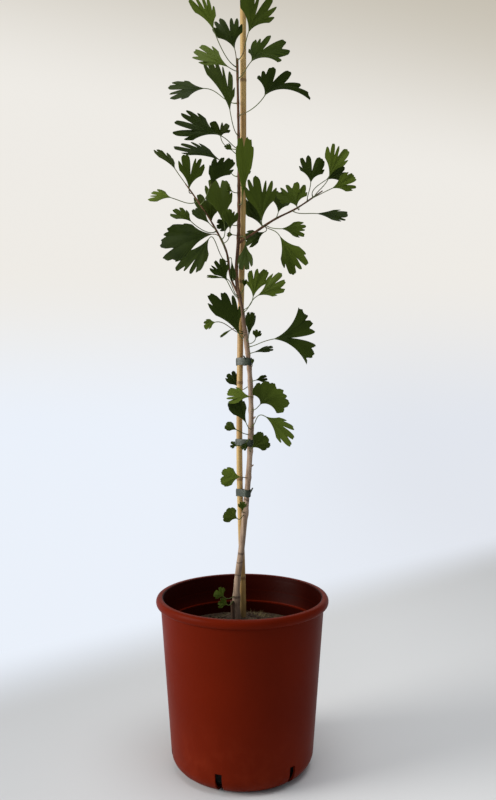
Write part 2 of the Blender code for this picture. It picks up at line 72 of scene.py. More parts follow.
# Sizes that the solids share.
TRUNK_RADIUS = 0.0048
TIP_RADIUS = 0.0015
TAPER = 1.2
FOOT_SWELLING = 0.0015
FOOT_SPREAD = 0.015
BRANCH_RADIUS = 0.0017
BRANCH_TIP_SHARE = 0.5
GAP = 0.0003
BLADE_START = 0.07
SHOULDER_DROP = 0.45  # how far a fan's outer corners fall short, as a share
SQUARE_SHOULDER_DROP = 0.06
WEDGE = 0.30  # how much of its full spread a blade has at its foot
CURL = 0.16  # the most that a blade bends back over its length, as a share
CUP = 0.30  # the same over half its width
CUT_WIDTH = 0.095  # half-width of a main cut, as a share of half the fan
COURSE_STEP = 0.003  # distance between the points of a shoot

# Shoots, in millimetres: right, back, height above the soil.
LEADER = (
    (-7, 0, -25), (-8, 0, 40), (0, 0, 110), (8, 0, 195), (12, 0, 270), (10, 0, 345), (1, 0, 420),
    (-8, 0, 475), (-5, 0, 540), (-5, 0, 660), (-7, 0, 772),
)
LEFT_BRANCH = (
    (-5, 0, 450), (-16, -3, 475), (-22, -8, 510), (-40, -16, 545), (-60, -21, 575), (-76, -24, 597),
)
RIGHT_BRANCH = ((-5, 0, 522), (20, -3, 538), (45, 2, 555), (76, 10, 572), (112, 22, 598))
SPUR = ((12, 0, 277), (15, -1, 280), (18, -2, 283))

# The cane's course, in millimetres: right, height above the soil.
CANE_COURSE = ((1, 10), (-4, 210), (-3, 380), (1, 600), (1, 850))


class Leaf(NamedTuple):
    """A leaf on its shoot: a fan with cuts in its edge, in millimetres and degrees."""

    shoot: str
    height: float  # where its stalk leaves the shoot, above the soil
    base: tuple  # right, back and up, from the shoot's centre to the foot of the blade
    aim: float  # bearing of the fan's middle from straight up, clockwise seen from the front
    spread: float
    length: float
    cuts: tuple  # each cut's place across the fan, -1 to 1, and its depth as a share of the length
    skew: float = 0  # how much longer the side at 1 is than the middle, as a share
    turn: float = 20
    lean: float = 0
    droop: float = 1


on_leader = partial(Leaf, "leader")
on_left = partial(Leaf, "left_branch")
on_right = partial(Leaf, "right_branch")

# The leaves that stand for solids, by part of the crown. A leaf is named by its part and place here.
CROWN = {
    "top": (
        on_leader(770, (15, -15, 30), 20, 76, 62, ((0.05, 0.55),), 0, 20, 5, 4),
        on_leader(760, (-30, -35, 34), -22, 56, 48, ((-0.45, 0.3), (-0.1, 0.35)), -0.2, 25, -10, 3),
        on_leader(765, (-3, -15, 13), -18, 80, 48, ((-0.6, 0.15), (0.1, 0.4)), 0, 15, -8, 3),
        on_leader(745, (18, -20, 15), 42, 110, 46, ((0.1, 0.5),), 0.4, -25, -5, 4),
        on_leader(695, (35, -35, 15), 30, 110, 46, ((0, 0.45), (0.45, 0.4)), 0.45, 20, 10, 3),
        on_leader(753, (-10, -45, -10), -62, 62, 50, ((-0.35, 0.15),), 0, 35, -15, 4),
        on_leader(668, (-11, -20, 26), -10, 46, 72, ((0.2, 0.45),), -0.4, 30, 5, 2),
        on_leader(712, (-45, 15, 25), -92, 70, 52, ((-0.1, 0.35),), 0, 45, -10, 3),
        on_leader(650, (-25, -30, 10), -72, 66, 60, ((-0.35, 0.4), (0.1, 0.3)), -0.1, 20, -10, 3),
        on_leader(650, (-25, 15, 20), -6, 115, 26, ((0, 0.6),), 0, 30, 10, 2),
        on_leader(613, (-25, 15, 25), -60, 38, 62, ((0.2, 0.3),), -0.3, 40, 5, 6),
        on_leader(574, (5, -34, 0), 3, 26, 79, ((-0.1, 0.12),), 0, 30, -4, 0),
    ),
    "left": (
        on_left(585, (-3, -20, 0), 7, 66, 46, ((0, 0.6),), 0, 25, -15, 3),
        on_left(590, (-20, 15, 30), -32, 45, 34, ((0.1, 0.25),), -0.4, 55, 15, 2),
        on_left(575, (-35, 5, 5), -75, 65, 30, ((-0.35, 0.3),), -0.15, 45, -10, 3),
        on_left(540, (-5, -25, 0), -44, 44, 31, (), 0, 50, 0, 1),
        on_left(543, (-3, 8, 5), -10, 66, 42, ((0.15, 0.2),), -0.25, 25, 10, 2),
        on_left(570, (15, -25, 20), 24, 66, 40, ((-0.2, 0.15),), 0.35, 35, -5, 2),
        on_left(525, (5, -15, 15), -9, 46, 70, ((-0.55, 0.15), (0.1, 0.15)), 0, 40, 5, 3),
        on_left(536, (-32, -20, 8), -48, 64, 29, ((-0.45, 0.25),), -0.25, 30, -10, 2),
        on_left(512, (-15, -35, 15), -97, 66, 68, ((-0.35, 0.2),), -0.15, 20, -8, 6),
        on_left(496, (-25, -15, 30), -146, 62, 56, ((0.3, 0.15),), 0.3, 20, 8, 2),
        on_leader(447, (-16, -20, 20), -28, 70, 34, ((-0.3, 0.35),), 0, 20, -8, 2),
        on_left(520, (10, -30, 12), 2, 62, 30, ((0.2, 0.15),), 0, 25, -5, 2),
    ),
    "centre": (
        on_leader(546, (-7, -12, -2), -76, 100, 23, (), 0, 20, -5, 1),
        on_leader(530, (10, -25, -10), 182, 50, 38, (), 0, 40, 0, 0),
    ),
    "right": (
        on_right(545, (-4, -25, 0), -2, 62, 64, ((0.1, 0.3),), 0, 15, -6, 3),
        on_right(541, (3, 8, 4), -24, 52, 52, (), 0.1, -15, 14, 2),
        on_right(556, (2, -10, 5), 14, 70, 34, ((0.15, 0.15),), 0, 15, 8, 2),
        on_right(572, (-2, -30, -5), -20, 120, 36, ((0.1, 0.2),), 0, 10, -6, 2),
        on_right(582, (3, -20, 20), 4, 88, 40, ((0.05, 0.55),), 0, 15, 6, 2),
        on_right(590, (17, -22, 20), 19, 62, 50, ((0.1, 0.3),), 0, 15, -5, 3),
        on_right(588, (18, 5, 25), 54, 62, 34, ((0.2, 0.15),), 0, 20, 10, 2),
        on_right(587, (23, -35, 5), 66, 62, 36, ((0.3, 0.4),), 0, 15, -8, 2),
        on_right(568, (30, -10, -6), 92, 22, 44, ((0.2, 0.15),), 0, 65, 0, 4),
        on_right(546, (20, -30, -10), 90, 50, 33, ((0.2, 0.2),), 0, 45, -5, 3),
        on_right(545, (20, -15, -15), 148, 56, 56, ((0.1, 0.15),), 0, 20, 5, 0),
        on_right(546, (0, 16, -6), -112, 70, 32, (), 0, 20, 10, 1),
    ),
    "middle": (
        on_leader(430, (15, -15, 15), 9, 64, 43, ((0.15, 0.15),), 0.15, 10, 5, 2),
        on_leader(427, (20, -25, 20), 60, 62, 43, ((0.3, 0.15),), -0.15, 10, -8, 3),
        on_leader(396, (-7, -30, -3), -23, 52, 66, ((-0.15, 0.15),), -0.2, 20, -5, 4),
        on_leader(398, (-40, -12, 15), -100, 80, 17, (), 0, 30, 0, 2),
        on_leader(388, (3, -25, 3), 6, 34, 36, (), 0, 40, 5, 1),
        on_leader(379, (35, -30, 10), 81, 88, 58, ((0.13, 0.6),), 0, 10, -5, 3),
        on_leader(325, (-15, 20, -3), -34, 66, 27, ((0.1, 0.15),), 0, 20, 5, 1),
        on_leader(311, (0, -25, 0), -80, 60, 33, (), 0, 55, -5, 3),
        on_leader(266, (-6, -22, 8), -26, 52, 41, (), 0, 15, -5, 3),
        on_leader(292, (12, -15, 8), 40, 150, 38, ((0.05, 0.12),), 0.2, 5, -5, 2),
        on_leader(270, (18, -40, 16), 122, 58, 46, (), 0.25, 25, -5, 3),
        on_leader(235, (2, -18, 6), 54, 100, 27, (), 0, 15, -5, 1),
    ),
    "low": (
        on_leader(198, (-10, -18, 3), -84, 88, 28, ((0.05, 0.12),), 0, 15, -5, 2),
        on_leader(146, (-10, -16, -3), -58, 100, 21, (), 0, 15, -5, 1),
        on_leader(32, (-17, -20, 4), -44, 110, 15, (), 0, 30, -5, 1),
    ),
}
LEAVES = {f"leaf_{part}_{number}": leaf
          for part, leaves in CROWN.items() for number, leaf in enumerate(leaves, 1)}

# Small leaves and buds that have no solid of their own.
SMALL_LEAVES = {
    "small_top_1": on_leader(642, (-8, -8, 3), -45, 60, 14, ()),
    "small_top_2": on_leader(600, (9, -8, 10), 20, 60, 13, ((0, 0.2),)),
    "small_left_1": on_left(500, (5, -10, -2), 175, 26, 30, (), 0, 30, 0, 0),
    "small_centre_1": on_leader(590, (-8, -8, 0), -60, 70, 14, ()),
    "small_centre_2": on_leader(532, (-7, -7, 0), -80, 70, 9, ()),
    "small_middle_1": on_leader(452, (7, -7, 8), 10, 50, 13, ()),
    "small_middle_2": on_leader(400, (-16, -10, 4), -115, 16, 20, (), 0, 30, 0, 3),
    "small_middle_3": on_leader(383, (12, -9, 7), 15, 85, 14, ((0.1, 0.2),)),
    "small_middle_4": on_leader(370, (6, -9, 1), 72, 24, 30, (), 0, 60, 0, 3),
    "small_middle_5": on_leader(332, (6, -8, 1), 75, 50, 18, ()),
    "small_middle_6": on_leader(350, (4, -4, 4), 8, 34, 9, (), 0, 20, 0, 0),
    "small_middle_7": on_leader(258, (-19, -12, 7), -62, 65, 18, ()),
    "small_middle_8": on_leader(243, (-19, -13, 1), -80, 110, 9, ((0, 0.5),), 0, 20, 0, 0),
    "small_middle_9": on_leader(252, (-5, -9, -3), -150, 70, 12, ()),
    "small_low_1": on_leader(150, (-4, -11, 3), 0, 80, 14, ()),
    "small_left_2": on_leader(450, (-18, -14, 22), -80, 16, 26, (), 0, 30, 0, 1),
    "small_low_2": on_leader(26, (-12, -11, -4), -60, 95, 14, ((0.1, 0.2),), 0, 30, 0, 1),
}

ALL_LEAVES = LEAVES | SMALL_LEAVES
SMALL_LENGTH = 22  # shorter leaves, in millimetres, have a coarser grid

DARK_LEAVES = (
    "leaf_top_3", "leaf_top_4", "leaf_top_5", "leaf_top_8", "leaf_top_11", "leaf_left_4", "leaf_left_6",
    "leaf_left_9", "leaf_left_10", "leaf_right_3", "leaf_top_9", "leaf_right_7", "small_middle_5",
    "leaf_left_11", "leaf_centre_1", "leaf_centre_2", "leaf_right_2", "leaf_right_5", "leaf_right_9",
    "leaf_right_12", "leaf_middle_3", "leaf_middle_5", "leaf_middle_6", "leaf_middle_7",
    "leaf_middle_9", "small_middle_4", "small_middle_8", "small_middle_9", "small_left_1",
)
# Leaves with shallow cuts, and leaves that keep their outer corners.
BROAD_LEAVES = (
    "leaf_middle_6", "leaf_left_9", "leaf_middle_5", "leaf_middle_9", "leaf_middle_10",
    "leaf_middle_12", "leaf_low_1", "leaf_low_2", "leaf_top_12", "leaf_left_4", "small_middle_7",
)
SQUARE_LEAVES = ("leaf_middle_6", "leaf_top_5")
BRIGHT_LEAVES = (
    "leaf_top_2", "leaf_top_6", "leaf_top_12", "leaf_left_3", "leaf_right_6", "leaf_right_8",
    "leaf_middle_1", "leaf_middle_8", "leaf_low_1",
)

# Rings left on the trunk, in metres above the soil.
TRUNK_SCARS = (0.030, 0.062, 0.081, 0.092, 0.168)

# The cane's joints, in metres above the soil.
CANE_JOINTS = (0.055, 0.195, 0.330, 0.470, 0.610, 0.745, 0.860)

SLOT_FIRST_BEARING = -18.0
SLOT_DEPTH = 0.044  # a slot's cutter, from outside the corner to inside it
SLOT_SPARE = 0.010  # how far the cutter goes below the ground
FLOOR_CENTRE_RADIUS = 0.02  # the flat face in the middle of the pot's floor
INNER_LEDGE_Z = 0.1975
SOIL_EDGE_RADIUS = 0.1079
# The root ball below the soil's edge, down to the pot's floor: radius, height.
ROOT_BALL = ((0.0940, 0.036), (0.0860, 0.014), (0.0760, 0.0045))
SOIL_GRID = 170  # faces along each side of the soil's grid
DARK_FOOT_HEIGHT = 0.055  # how far wood and cane are dark from the soil
TIE_WIDTH = 0.0100
TIE_SIDES = 56
TAPE_THICKNESS = 0.0008
KNOB_SPREAD = 0.0035  # how far wood is swollen above and below a leaf
RIDGE_SPREAD = 0.0016  # the same at a cane joint
# Each tie's height above the soil and the length of its loose end, to the right if positive.
TIES = {"tie_lower": (176, 4), "tie_middle": (246, 0), "tie_upper": (359, -4)}
# Twig stubs on the leader: height above the soil, then how far right and up the tip lies.
STUBS = ((212, 6, 4), (638, 18, 8))
CRUMB_REACH = 0.097  # how far from the middle crumbs lie
STUB_PLACE = (-0.013, -0.004)
STUB_HEIGHT = 0.030
STUB_COLOUR = (0.16, 0.08, 0.035)
FLOOR_FRONT = -5.0
FLOOR_SIDE = 5.0
FLOOR_BEND = 0.60  # radius of the curve between floor and wall
WALL_HEIGHT = 4.0
SENSOR_WIDTH = 36.0
# Tufts of moss and straw on the soil: right, back, spread.
TUFTS = ((0.030, -0.030, 0.012), (0.050, -0.020, 0.010), (0.014, -0.040, 0.008),
         (-0.030, -0.030, 0.010), (-0.045, -0.010, 0.009), (0.020, 0.050, 0.012))


def length(name, description, default):
    """A size in metres."""
    return FloatProperty(name=name, description=description, default=default, unit="LENGTH")


def whole(name, description, default):
    """A whole number."""
    return IntProperty(name=name, description=description, default=default)


def colour(name, description, default):
    """A colour as red, green and blue."""
    return FloatVectorProperty(name=name, description=description, default=default, subtype="COLOR",
                               min=0.0, max=1.0)


class PotSettings(bpy.types.PropertyGroup):
    """The pot's sizes and colour."""

    base_radius: length("Base radius", "Where the side would meet the ground", 0.0977)
    corner_radius: length("Corner", "Rounding of the bottom corner", 0.024)
    rim_height: length("Rim height", "Height of the rolled rim", 0.012)
    rim_overhang: length("Rim overhang", "How far the rim stands out", 0.0065)
    rim_lip: length("Rim width", "Width of the rim seen from above", 0.010)
    wall: length("Wall", "Thickness of the plastic below the ledge", 0.0032)
    ledge_depth: length("Ledge depth", "How far the inner ledge is below the rim", 0.040)
    slots: whole("Slots", "Number of drainage slots", 6)
    slot_width: length("Slot width", "Width of a drainage slot", 0.0095)
    slot_height: length("Slot height", "Height of a drainage slot", 0.030)
    sides: whole("Sides", "Faces round the pot", 144)
    plastic: colour("Plastic", "Colour of the plastic", (0.126, 0.0090, 0.0014))


class SoilSettings(bpy.types.PropertyGroup):
    """The soil's shape and colours."""

    depth: length("Depth", "How far the soil's edge is below the rim", 0.0565)
    roughness: length("Lumps", "Height of the lumps on top", 0.0035)
    crumbs: whole("Crumbs", "Number of loose crumbs", 420)
    tufts: whole("Straws", "Number of dry straws and moss blades", 520)
    soil: colour("Soil", "Colour of the soil", (0.036, 0.019, 0.0075))
    moss: colour("Moss", "Colour of the moss and straw", (0.100, 0.078, 0.034))


class PlantSettings(bpy.types.PropertyGroup):
    """The wood's, the cane's and the leaves' sizes and colours."""

    cane_radius: length("Cane radius", "Radius of the bamboo cane", 0.0042)
    joint_height: length("Joint", "How far a cane joint stands out", 0.0005)
    blade_thickness: length("Blade", "Thickness of a leaf", 0.0005)
    stalk_radius: length("Stalk", "Radius of a leaf stalk", 0.0006)
    columns: whole("Columns", "Faces across a leaf", 84)
    rows: whole("Rows", "Faces along a leaf", 14)
    bark_low: colour("Bark, low", "Colour of the old bark", (0.420, 0.300, 0.210))
    bark_high: colour("Bark, high", "Colour of the young bark", (0.140, 0.060, 0.022))
    bamboo: colour("Bamboo", "Colour of the cane", (0.530, 0.350, 0.120))
    tape: colour("Tape", "Colour of the ties", (0.015, 0.024, 0.012))
    leaf_dark: colour("Dark leaf", "Green of the darkest leaves", (0.008, 0.017, 0.002))
    leaf_light: colour("Light leaf", "Green of the lightest leaves", (0.120, 0.170, 0.018))


class StageSettings(bpy.types.PropertyGroup):
    """The floor, the light and the camera."""

    floor: colour("Floor", "Colour of the floor", (0.78, 0.80, 0.82))
    sweep_start: length("Sweep", "How far behind the pot the floor curves up", 2.4)
    key_power: FloatProperty(name="Key light", description="Power of the light at the left",
                             default=42.0, unit="POWER")
    top_power: FloatProperty(name="Top light", description="Power of the light above",
                             default=21.0, unit="POWER")
    fill: FloatProperty(name="Fill", description="Strength of the light from all round", default=0.30)
    camera_place: FloatVectorProperty(name="Camera", description="Where the camera stands",
                                      subtype="TRANSLATION", default=(0.0078, -1.108, 0.551))
    camera_tilt: FloatProperty(name="Tilt", description="How far the camera looks down",
                               default=math.radians(2.125), unit="ROTATION")
    lens: FloatProperty(name="Lens", description="Focal length in millimetres", default=36.0)


class Field:
    """A socket of a material, with arithmetic that adds its Math nodes."""

    def __init__(self, look, socket):
        self.look = look
        self.socket = socket

    def maths(self, operation, first, second):
        return self.look.node("ShaderNodeMath", {"operation": operation}, {0: first, 1: second})

    def __add__(self, other):
        return self.maths("ADD", self, other)

    def __sub__(self, other):
        return self.maths("SUBTRACT", self, other)

    def __mul__(self, other):
        return self.maths("MULTIPLY", self, other)

    def __rsub__(self, other):
        return self.maths("SUBTRACT", other, self)

    def __abs__(self):
        return self.maths("ABSOLUTE", self, 0.0)

    __radd__ = __add__
    __rmul__ = __mul__


class Look:
    """A material in the making: a Principled shader and the nodes that feed it."""

    def __init__(self, name, roughness):
        self.material = bpy.data.materials.new(name)
        self.material.use_nodes = True
        self.tree = self.material.node_tree
        self.shader = self.tree.nodes["Principled BSDF"]
        self.fix("Roughness", roughness)
        self.place = self.node("ShaderNodeTexCoord", output="Object")

    def node(self, kind, settings=None, sockets=None, output=0):
        """Add a node: its settings first, then the values or links of its sockets."""
        made = self.tree.nodes.new(kind)
        for name, value in (settings or {}).items():
            setattr(made, name, value)
        for key, value in (sockets or {}).items():
            if isinstance(value, Field):
                self.tree.links.new(value.socket, made.inputs[key])
            else:
                made.inputs[key].default_value = value
        return Field(self, made.outputs[output])

    def fix(self, name, value):
        """Give one of the shader's own sockets a value that is the same all over."""
        self.shader.inputs[name].default_value = value

    def feed(self, name, field):
        """Link a field to one of the shader's own sockets."""
        self.tree.links.new(field.socket, self.shader.inputs[name])

    def axis(self, name):
        """X, Y or Z over the object, in metres."""
        return self.node("ShaderNodeSeparateXYZ", {}, {0: self.place}, name)

    def grain(self, scale, stretch=(1.0, 1.0, 1.0), detail=3.0):
        """Noise from 0 to 1 over the object, finer along an axis with more stretch."""
        where = self.node("ShaderNodeMapping", {}, {"Vector": self.place, "Scale": stretch}, "Vector")
        return self.node("ShaderNodeTexNoise", {}, {"Vector": where, "Scale": scale, "Detail": detail},
                         "Fac")

    def band(self, field, low, high):
        """0 below low, 1 above high, and smooth between."""
        return self.node("ShaderNodeMapRange", {"interpolation_type": "SMOOTHSTEP"},
                         {"Value": field, "From Min": low, "From Max": high}, "Result")

    def blend(self, share, first, second):
        """From the first colour to the second as share goes from 0 to 1."""
        sockets = {0: share}
        for key, value in ((6, first), (7, second)):
            sockets[key] = value if isinstance(value, Field) else (*value, 1.0)
        return self.node("ShaderNodeMix", {"data_type": "RGBA"}, sockets, 2)

    def relief(self, field, height):
        """Raise the surface by a field, as fine relief."""
        bump = self.node("ShaderNodeBump", {}, {"Height": field, "Distance": height, "Strength": 1.0},
                         "Normal")
        self.feed("Normal", bump)


def shade(colour, factor):
    """A colour made lighter or darker."""
    return tuple(min(1.0, channel * factor) for channel in colour)


def plastic_look(colour):
    """Satin moulded plastic, faintly mottled; lighter near the ground, partly dust and partly painted
    floor-bounce light; painted shade on the inner wall, with a painted highlight along the inner ledge.
    """
    look = Look("pot_plastic", 0.40)
    look.fix("Specular IOR Level", 0.03)
    height = look.axis("Z")
    mottle = look.band(look.grain(14.0), 0.3, 0.7)
    base = look.blend(mottle * 0.5, shade(colour, 0.92), shade(colour, 1.10))
    # Lighter towards the ground: partly dust, partly painted light bounced up from the floor.
    dust_and_bounce_light = (1.0 - look.band(height, 0.0, 0.12)) * (look.band(look.grain(60.0), 0.4, 0.8) * 0.25 + 0.1)
    base = look.blend(dust_and_bounce_light, base, (0.24, 0.030, 0.010))
    across = look.node("ShaderNodeVectorMath", {"operation": "MULTIPLY"},
                       {0: look.place, 1: (1.0, 1.0, 0.0)}, "Vector")
    radius = look.node("ShaderNodeVectorMath", {"operation": "LENGTH"}, {0: across}, "Value")
    # Painted shade on the inner wall, except for a thin painted highlight along the inner ledge.
    inside = (1.0 - look.band(radius - height * 0.070, 0.0945, 0.0960)) * look.band(height, 0.035, 0.060)
    off_ledge = look.band(abs(height - INNER_LEDGE_Z), 0.0008, 0.0022)
    shadowed = inside * (0.15 + off_ledge * 0.76)
    look.feed("Base Color", look.blend(shadowed, base, shade(colour, 0.10)))
    look.feed("Roughness", look.grain(30.0) * 0.16 + 0.34)
    look.relief(look.grain(220.0), 0.00012)
    return look.material


def earth_look(name, colour, moss):
    """Granular potting soil with patches of moss, and painted shade that turns the root ball near black
    low in the pot.
    """
    look = Look(name, 0.95)
    patches = look.band(look.grain(22.0, detail=5.0), 0.52, 0.66)
    grit = look.band(look.grain(420.0), 0.35, 0.70)
    earth = look.blend(grit, shade(colour, 0.55), shade(colour, 1.9))
    height = look.axis("Z")
    # Painted shade: low in the pot the root ball turns near black.
    painted_shade_low = 1.0 - look.band(height, 0.05, 0.16)
    mossy = look.blend(patches * 0.55, earth, moss)
    look.feed("Base Color", look.blend(painted_shade_low, mossy, (0.004, 0.003, 0.002)))
    look.relief(look.grain(350.0, detail=6.0), 0.0012)
    return look.material


def straw_look(colour):
    """Dry straw and pale moss."""
    look = Look("straw", 0.9)
    look.feed("Base Color", look.blend(look.grain(90.0), shade(colour, 0.5), shade(colour, 1.35)))
    return look.material


def bark_look(low, high):
    """Young bark, greyer below and redder above, with streaks and pale pores."""
    look = Look("bark", 0.85)
    height = look.axis("Z")
    streaks = look.grain(260.0, (1.0, 1.0, 0.12), 4.0)
    age = look.band(height, SOIL_TOP_Z + 0.30, SOIL_TOP_Z + 0.50)
    base = look.blend(age, low, high)
    dark = look.blend(look.band(streaks, 0.35, 0.62), (0.42, 0.36, 0.33), (1.0, 1.0, 1.0))
    worn = look.node("ShaderNodeMix", {"data_type": "RGBA", "blend_type": "MULTIPLY"},
                     {0: 0.75, 6: base, 7: dark}, 2)
    pores = look.band(look.grain(520.0, (1.0, 1.0, 2.2)), 0.66, 0.72)
    worn = look.blend(pores * 0.5, worn, shade(low, 1.7))
    for scar in TRUNK_SCARS:
        away = abs(height - (SOIL_TOP_Z + scar) + (look.grain(55.0) - 0.5) * 0.014)
        worn = look.blend((1.0 - look.band(away, 0.0004, 0.0022)) * 0.7, worn, (0.045, 0.022, 0.012))
    # Darker towards the soil.
    foot_darkening = 1.0 - look.band(height, SOIL_TOP_Z, SOIL_TOP_Z + DARK_FOOT_HEIGHT)
    look.feed("Base Color", look.blend(foot_darkening * 0.75, worn, (0.030, 0.016, 0.009)))
    look.relief(streaks + pores * 0.4, 0.0006)
    return look.material


def bamboo_look(colour):
    """Dry bamboo, streaked along its length and browner at its joints."""
    look = Look("bamboo", 0.48)
    height = look.axis("Z")
    streaks = look.grain(300.0, (1.0, 1.0, 0.02), 3.0)
    base = look.blend(streaks, shade(colour, 0.70), shade(colour, 1.25))
    stain = look.band(look.grain(34.0, (1.0, 1.0, 0.35)), 0.42, 0.62)
    base = look.blend(stain * 0.6, base, (0.30, 0.14, 0.035))
    for joint in CANE_JOINTS:
        away = abs(height - (SOIL_TOP_Z + joint))
        base = look.blend((1.0 - look.band(away, 0.0005, 0.0040)) * 0.7, base, (0.13, 0.06, 0.02))
    # Darker towards the soil.
    foot_darkening = 1.0 - look.band(height, SOIL_TOP_Z, SOIL_TOP_Z + DARK_FOOT_HEIGHT)
    look.feed("Base Color", look.blend(foot_darkening * 0.65, base, (0.040, 0.020, 0.010)))
    look.relief(streaks, 0.0002)
    return look.material


def tape_look(colour):
    """Soft, slightly glossy tie tape."""
    look = Look("tape", 0.45)
    look.feed("Base Color", look.blend(look.grain(160.0), shade(colour, 0.6), shade(colour, 2.0)))
    look.relief(look.grain(500.0), 0.0003)
    return look.material


def leaf_look(dark, light):
    """A waxy leaf with fine veins that fan out from its foot; its tone is kept on its points."""
    look = Look("leaf", 0.50)
    look.fix("Specular IOR Level", 0.06)
    tone = look.node("ShaderNodeAttribute", {"attribute_name": "tone"}, {}, "Fac")
    across = look.node("ShaderNodeUVMap", {"uv_map": "UVMap"}, {}, "UV")
    across = look.node("ShaderNodeSeparateXYZ", {}, {0: across}, "X")
    veins = look.node("ShaderNodeMath", {"operation": "SINE"}, {0: across * 260.0}) * 0.5 + 0.5
    share = tone + (look.grain(45.0) - 0.5) * 0.25
    base = look.blend(share, dark, light)
    look.feed("Base Color", look.blend(veins * 0.14, base, shade(light, 1.25)))
    look.feed("Roughness", look.grain(120.0) * 0.18 + 0.38)
    look.relief(veins, 0.00010)
    return look.material


def stalk_look(light):
    """A yellow-green leaf stalk, reddish in places."""
    look = Look("stalk", 0.6)
    blush = look.band(look.grain(30.0), 0.50, 0.65)
    look.feed("Base Color", look.blend(blush * 0.6, shade(light, 0.55), (0.10, 0.035, 0.015)))
    return look.material


def shares(count):
    """Even steps from 0 to 1, both ends included."""
    return [step / count for step in range(count + 1)]


def deselect():
    """Leave object mode's selection empty."""
    for thing in bpy.context.selected_objects:
        thing.select_set(False)


def pick(*things):
    """Select these objects only; the last one is active."""
    deselect()
    for thing in things:
        thing.select_set(True)
    bpy.context.view_layer.objects.active = things[-1]


def apply_modifier(thing, kind, **settings):
    """Give an object a modifier and apply it."""
    pick(thing)
    modifier = thing.modifiers.new(kind.lower(), kind)
    for name, value in settings.items():
        setattr(modifier, name, value)
    bpy.ops.object.modifier_apply(modifier=modifier.name)


def fuse(target, tool, operation):
    """Add a tool to a target, or cut it out, and take the tool away."""
    apply_modifier(target, "BOOLEAN", operation=operation, object=tool, solver="EXACT")
    bpy.data.objects.remove(tool, do_unlink=True)


def join(name, things):
    """Make several objects one."""
    pick(*things)
    bpy.ops.object.join()
    joined = bpy.context.object
    joined.name = name
    return joined


def dress(thing, name, material, slot, *nodes):
    """Name a finished piece, and say its material, body and the solids it stands for; the slot is not
    used.
    """
    thing.name = name
    thing.data.name = name
    if material is not None:
        thing.data.materials.clear()
        thing.data.materials.append(material)
    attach(thing, "root")
    if nodes:
        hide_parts(*nodes)
    return thing


def smooth(thing, degrees):
    """Shade smooth, with edges sharper than an angle kept."""
    pick(thing)
    bpy.ops.object.shade_smooth_by_angle(angle=math.radians(degrees))


def extrude_up(rise):
    """Extrude what is selected, straight up."""
    bpy.ops.mesh.extrude_region_move(TRANSFORM_OT_translate={"value": (0.0, 0.0, rise)})


def extrude_rings(profile):
    """Extrude the selected ring, which lies at the first row, through rows of (radius, height)."""
    for (radius, height), (next_radius, next_height) in zip(profile, profile[1:]):
        extrude_up(next_height - height)
        grow = next_radius / radius
        bpy.ops.transform.resize(value=(grow, grow, 1.0), center_override=(0.0, 0.0, next_height))


def open_editing():
    """Go to edit mode with everything selected."""
    bpy.ops.object.mode_set(mode="EDIT")
    bpy.ops.mesh.select_all(action="SELECT")


def close_editing():
    """Turn all faces outwards and go back to object mode."""
    bpy.ops.mesh.select_all(action="SELECT")
    bpy.ops.mesh.normals_make_consistent(inside=False)
    bpy.ops.object.mode_set(mode="OBJECT")


def grid(columns, rows):
    """A flat grid, 2 by 2, ready to be drawn onto a shape."""
    deselect()
    bpy.ops.mesh.primitive_grid_add(x_subdivisions=columns, y_subdivisions=rows, size=2.0)
    return bpy.context.object


def turned(profile, sides):
    """A closed turned shell, from a filled circle on the ground."""
    deselect()
    bpy.ops.mesh.primitive_circle_add(vertices=sides, radius=profile[0][0], fill_type="NGON")
    open_editing()
    extrude_rings(profile)
    close_editing()
    return bpy.context.object


def rod(course, sides):
    """A round rod with closed ends along points of (x, y, z, radius)."""
    deselect()
    bpy.ops.curve.primitive_nurbs_path_add()
    thing = bpy.context.object
    curve = thing.data
    curve.splines.clear()
    spline = curve.splines.new("POLY")
    spline.points.add(len(course) - 1)
    for point, place in zip(spline.points, course):
        point.co = (place[0], place[1], place[2], 1.0)
        point.radius = place[3]
    curve.bevel_depth = 1.0
    curve.bevel_resolution = max(0, (sides - 4) // 2)
    curve.use_fill_caps = True
    pick(thing)
    bpy.ops.object.convert(target="MESH")
    thing = bpy.context.object
    open_editing()
    bpy.ops.mesh.remove_doubles(threshold=0.000001)
    close_editing()
    return thing


def smooth_course(points, step):
    """Points along a Catmull-Rom curve through vectors, about one step apart."""
    course = []
    for index in range(len(points) - 1):
        before = points[max(index - 1, 0)]
        start = points[index]
        end = points[index + 1]
        after = points[min(index + 2, len(points) - 1)]
        pieces = max(1, round((end - start).length / step))
        for piece in range(pieces):
            t = piece / pieces
            course.append(0.5 * (2 * start + (end - before) * t
                                 + (2 * before - 5 * start + 4 * end - after) * t * t
                                 + (3 * start - before - 3 * end + after) * t * t * t))
    course.append(points[-1])
    return course


def shoot_points(rows):
    """A shoot's points in metres above the ground."""
    return [Vector((right * MM, back * MM, SOIL_TOP_Z + up * MM)) for right, back, up in rows]


def leader_radius(height):
    """The trunk's radius at a height above the soil."""
    left = 1.0 - min(max(height / (LEADER[-1][2] * MM), 0.0), 1.0)
    radius = TIP_RADIUS + (TRUNK_RADIUS - TIP_RADIUS) * left ** TAPER
    return radius + FOOT_SWELLING * math.exp(-(height / FOOT_SPREAD) ** 2)


def leader_course():
    """The trunk's centre line with its radius."""
    course = smooth_course(shoot_points(LEADER), COURSE_STEP)
    return [Vector((*point, leader_radius(point.z - SOIL_TOP_Z))) for point in course]


def branch_course(rows):
    """A branch's centre line, its radius shrinking evenly to the tip."""
    centres = smooth_course(shoot_points(rows), COURSE_STEP)
    course = []
    for index, point in enumerate(centres):
        share = 1.0 - (1.0 - BRANCH_TIP_SHARE) * index / (len(centres) - 1)
        course.append(Vector((*point, BRANCH_RADIUS * share)))
    return course


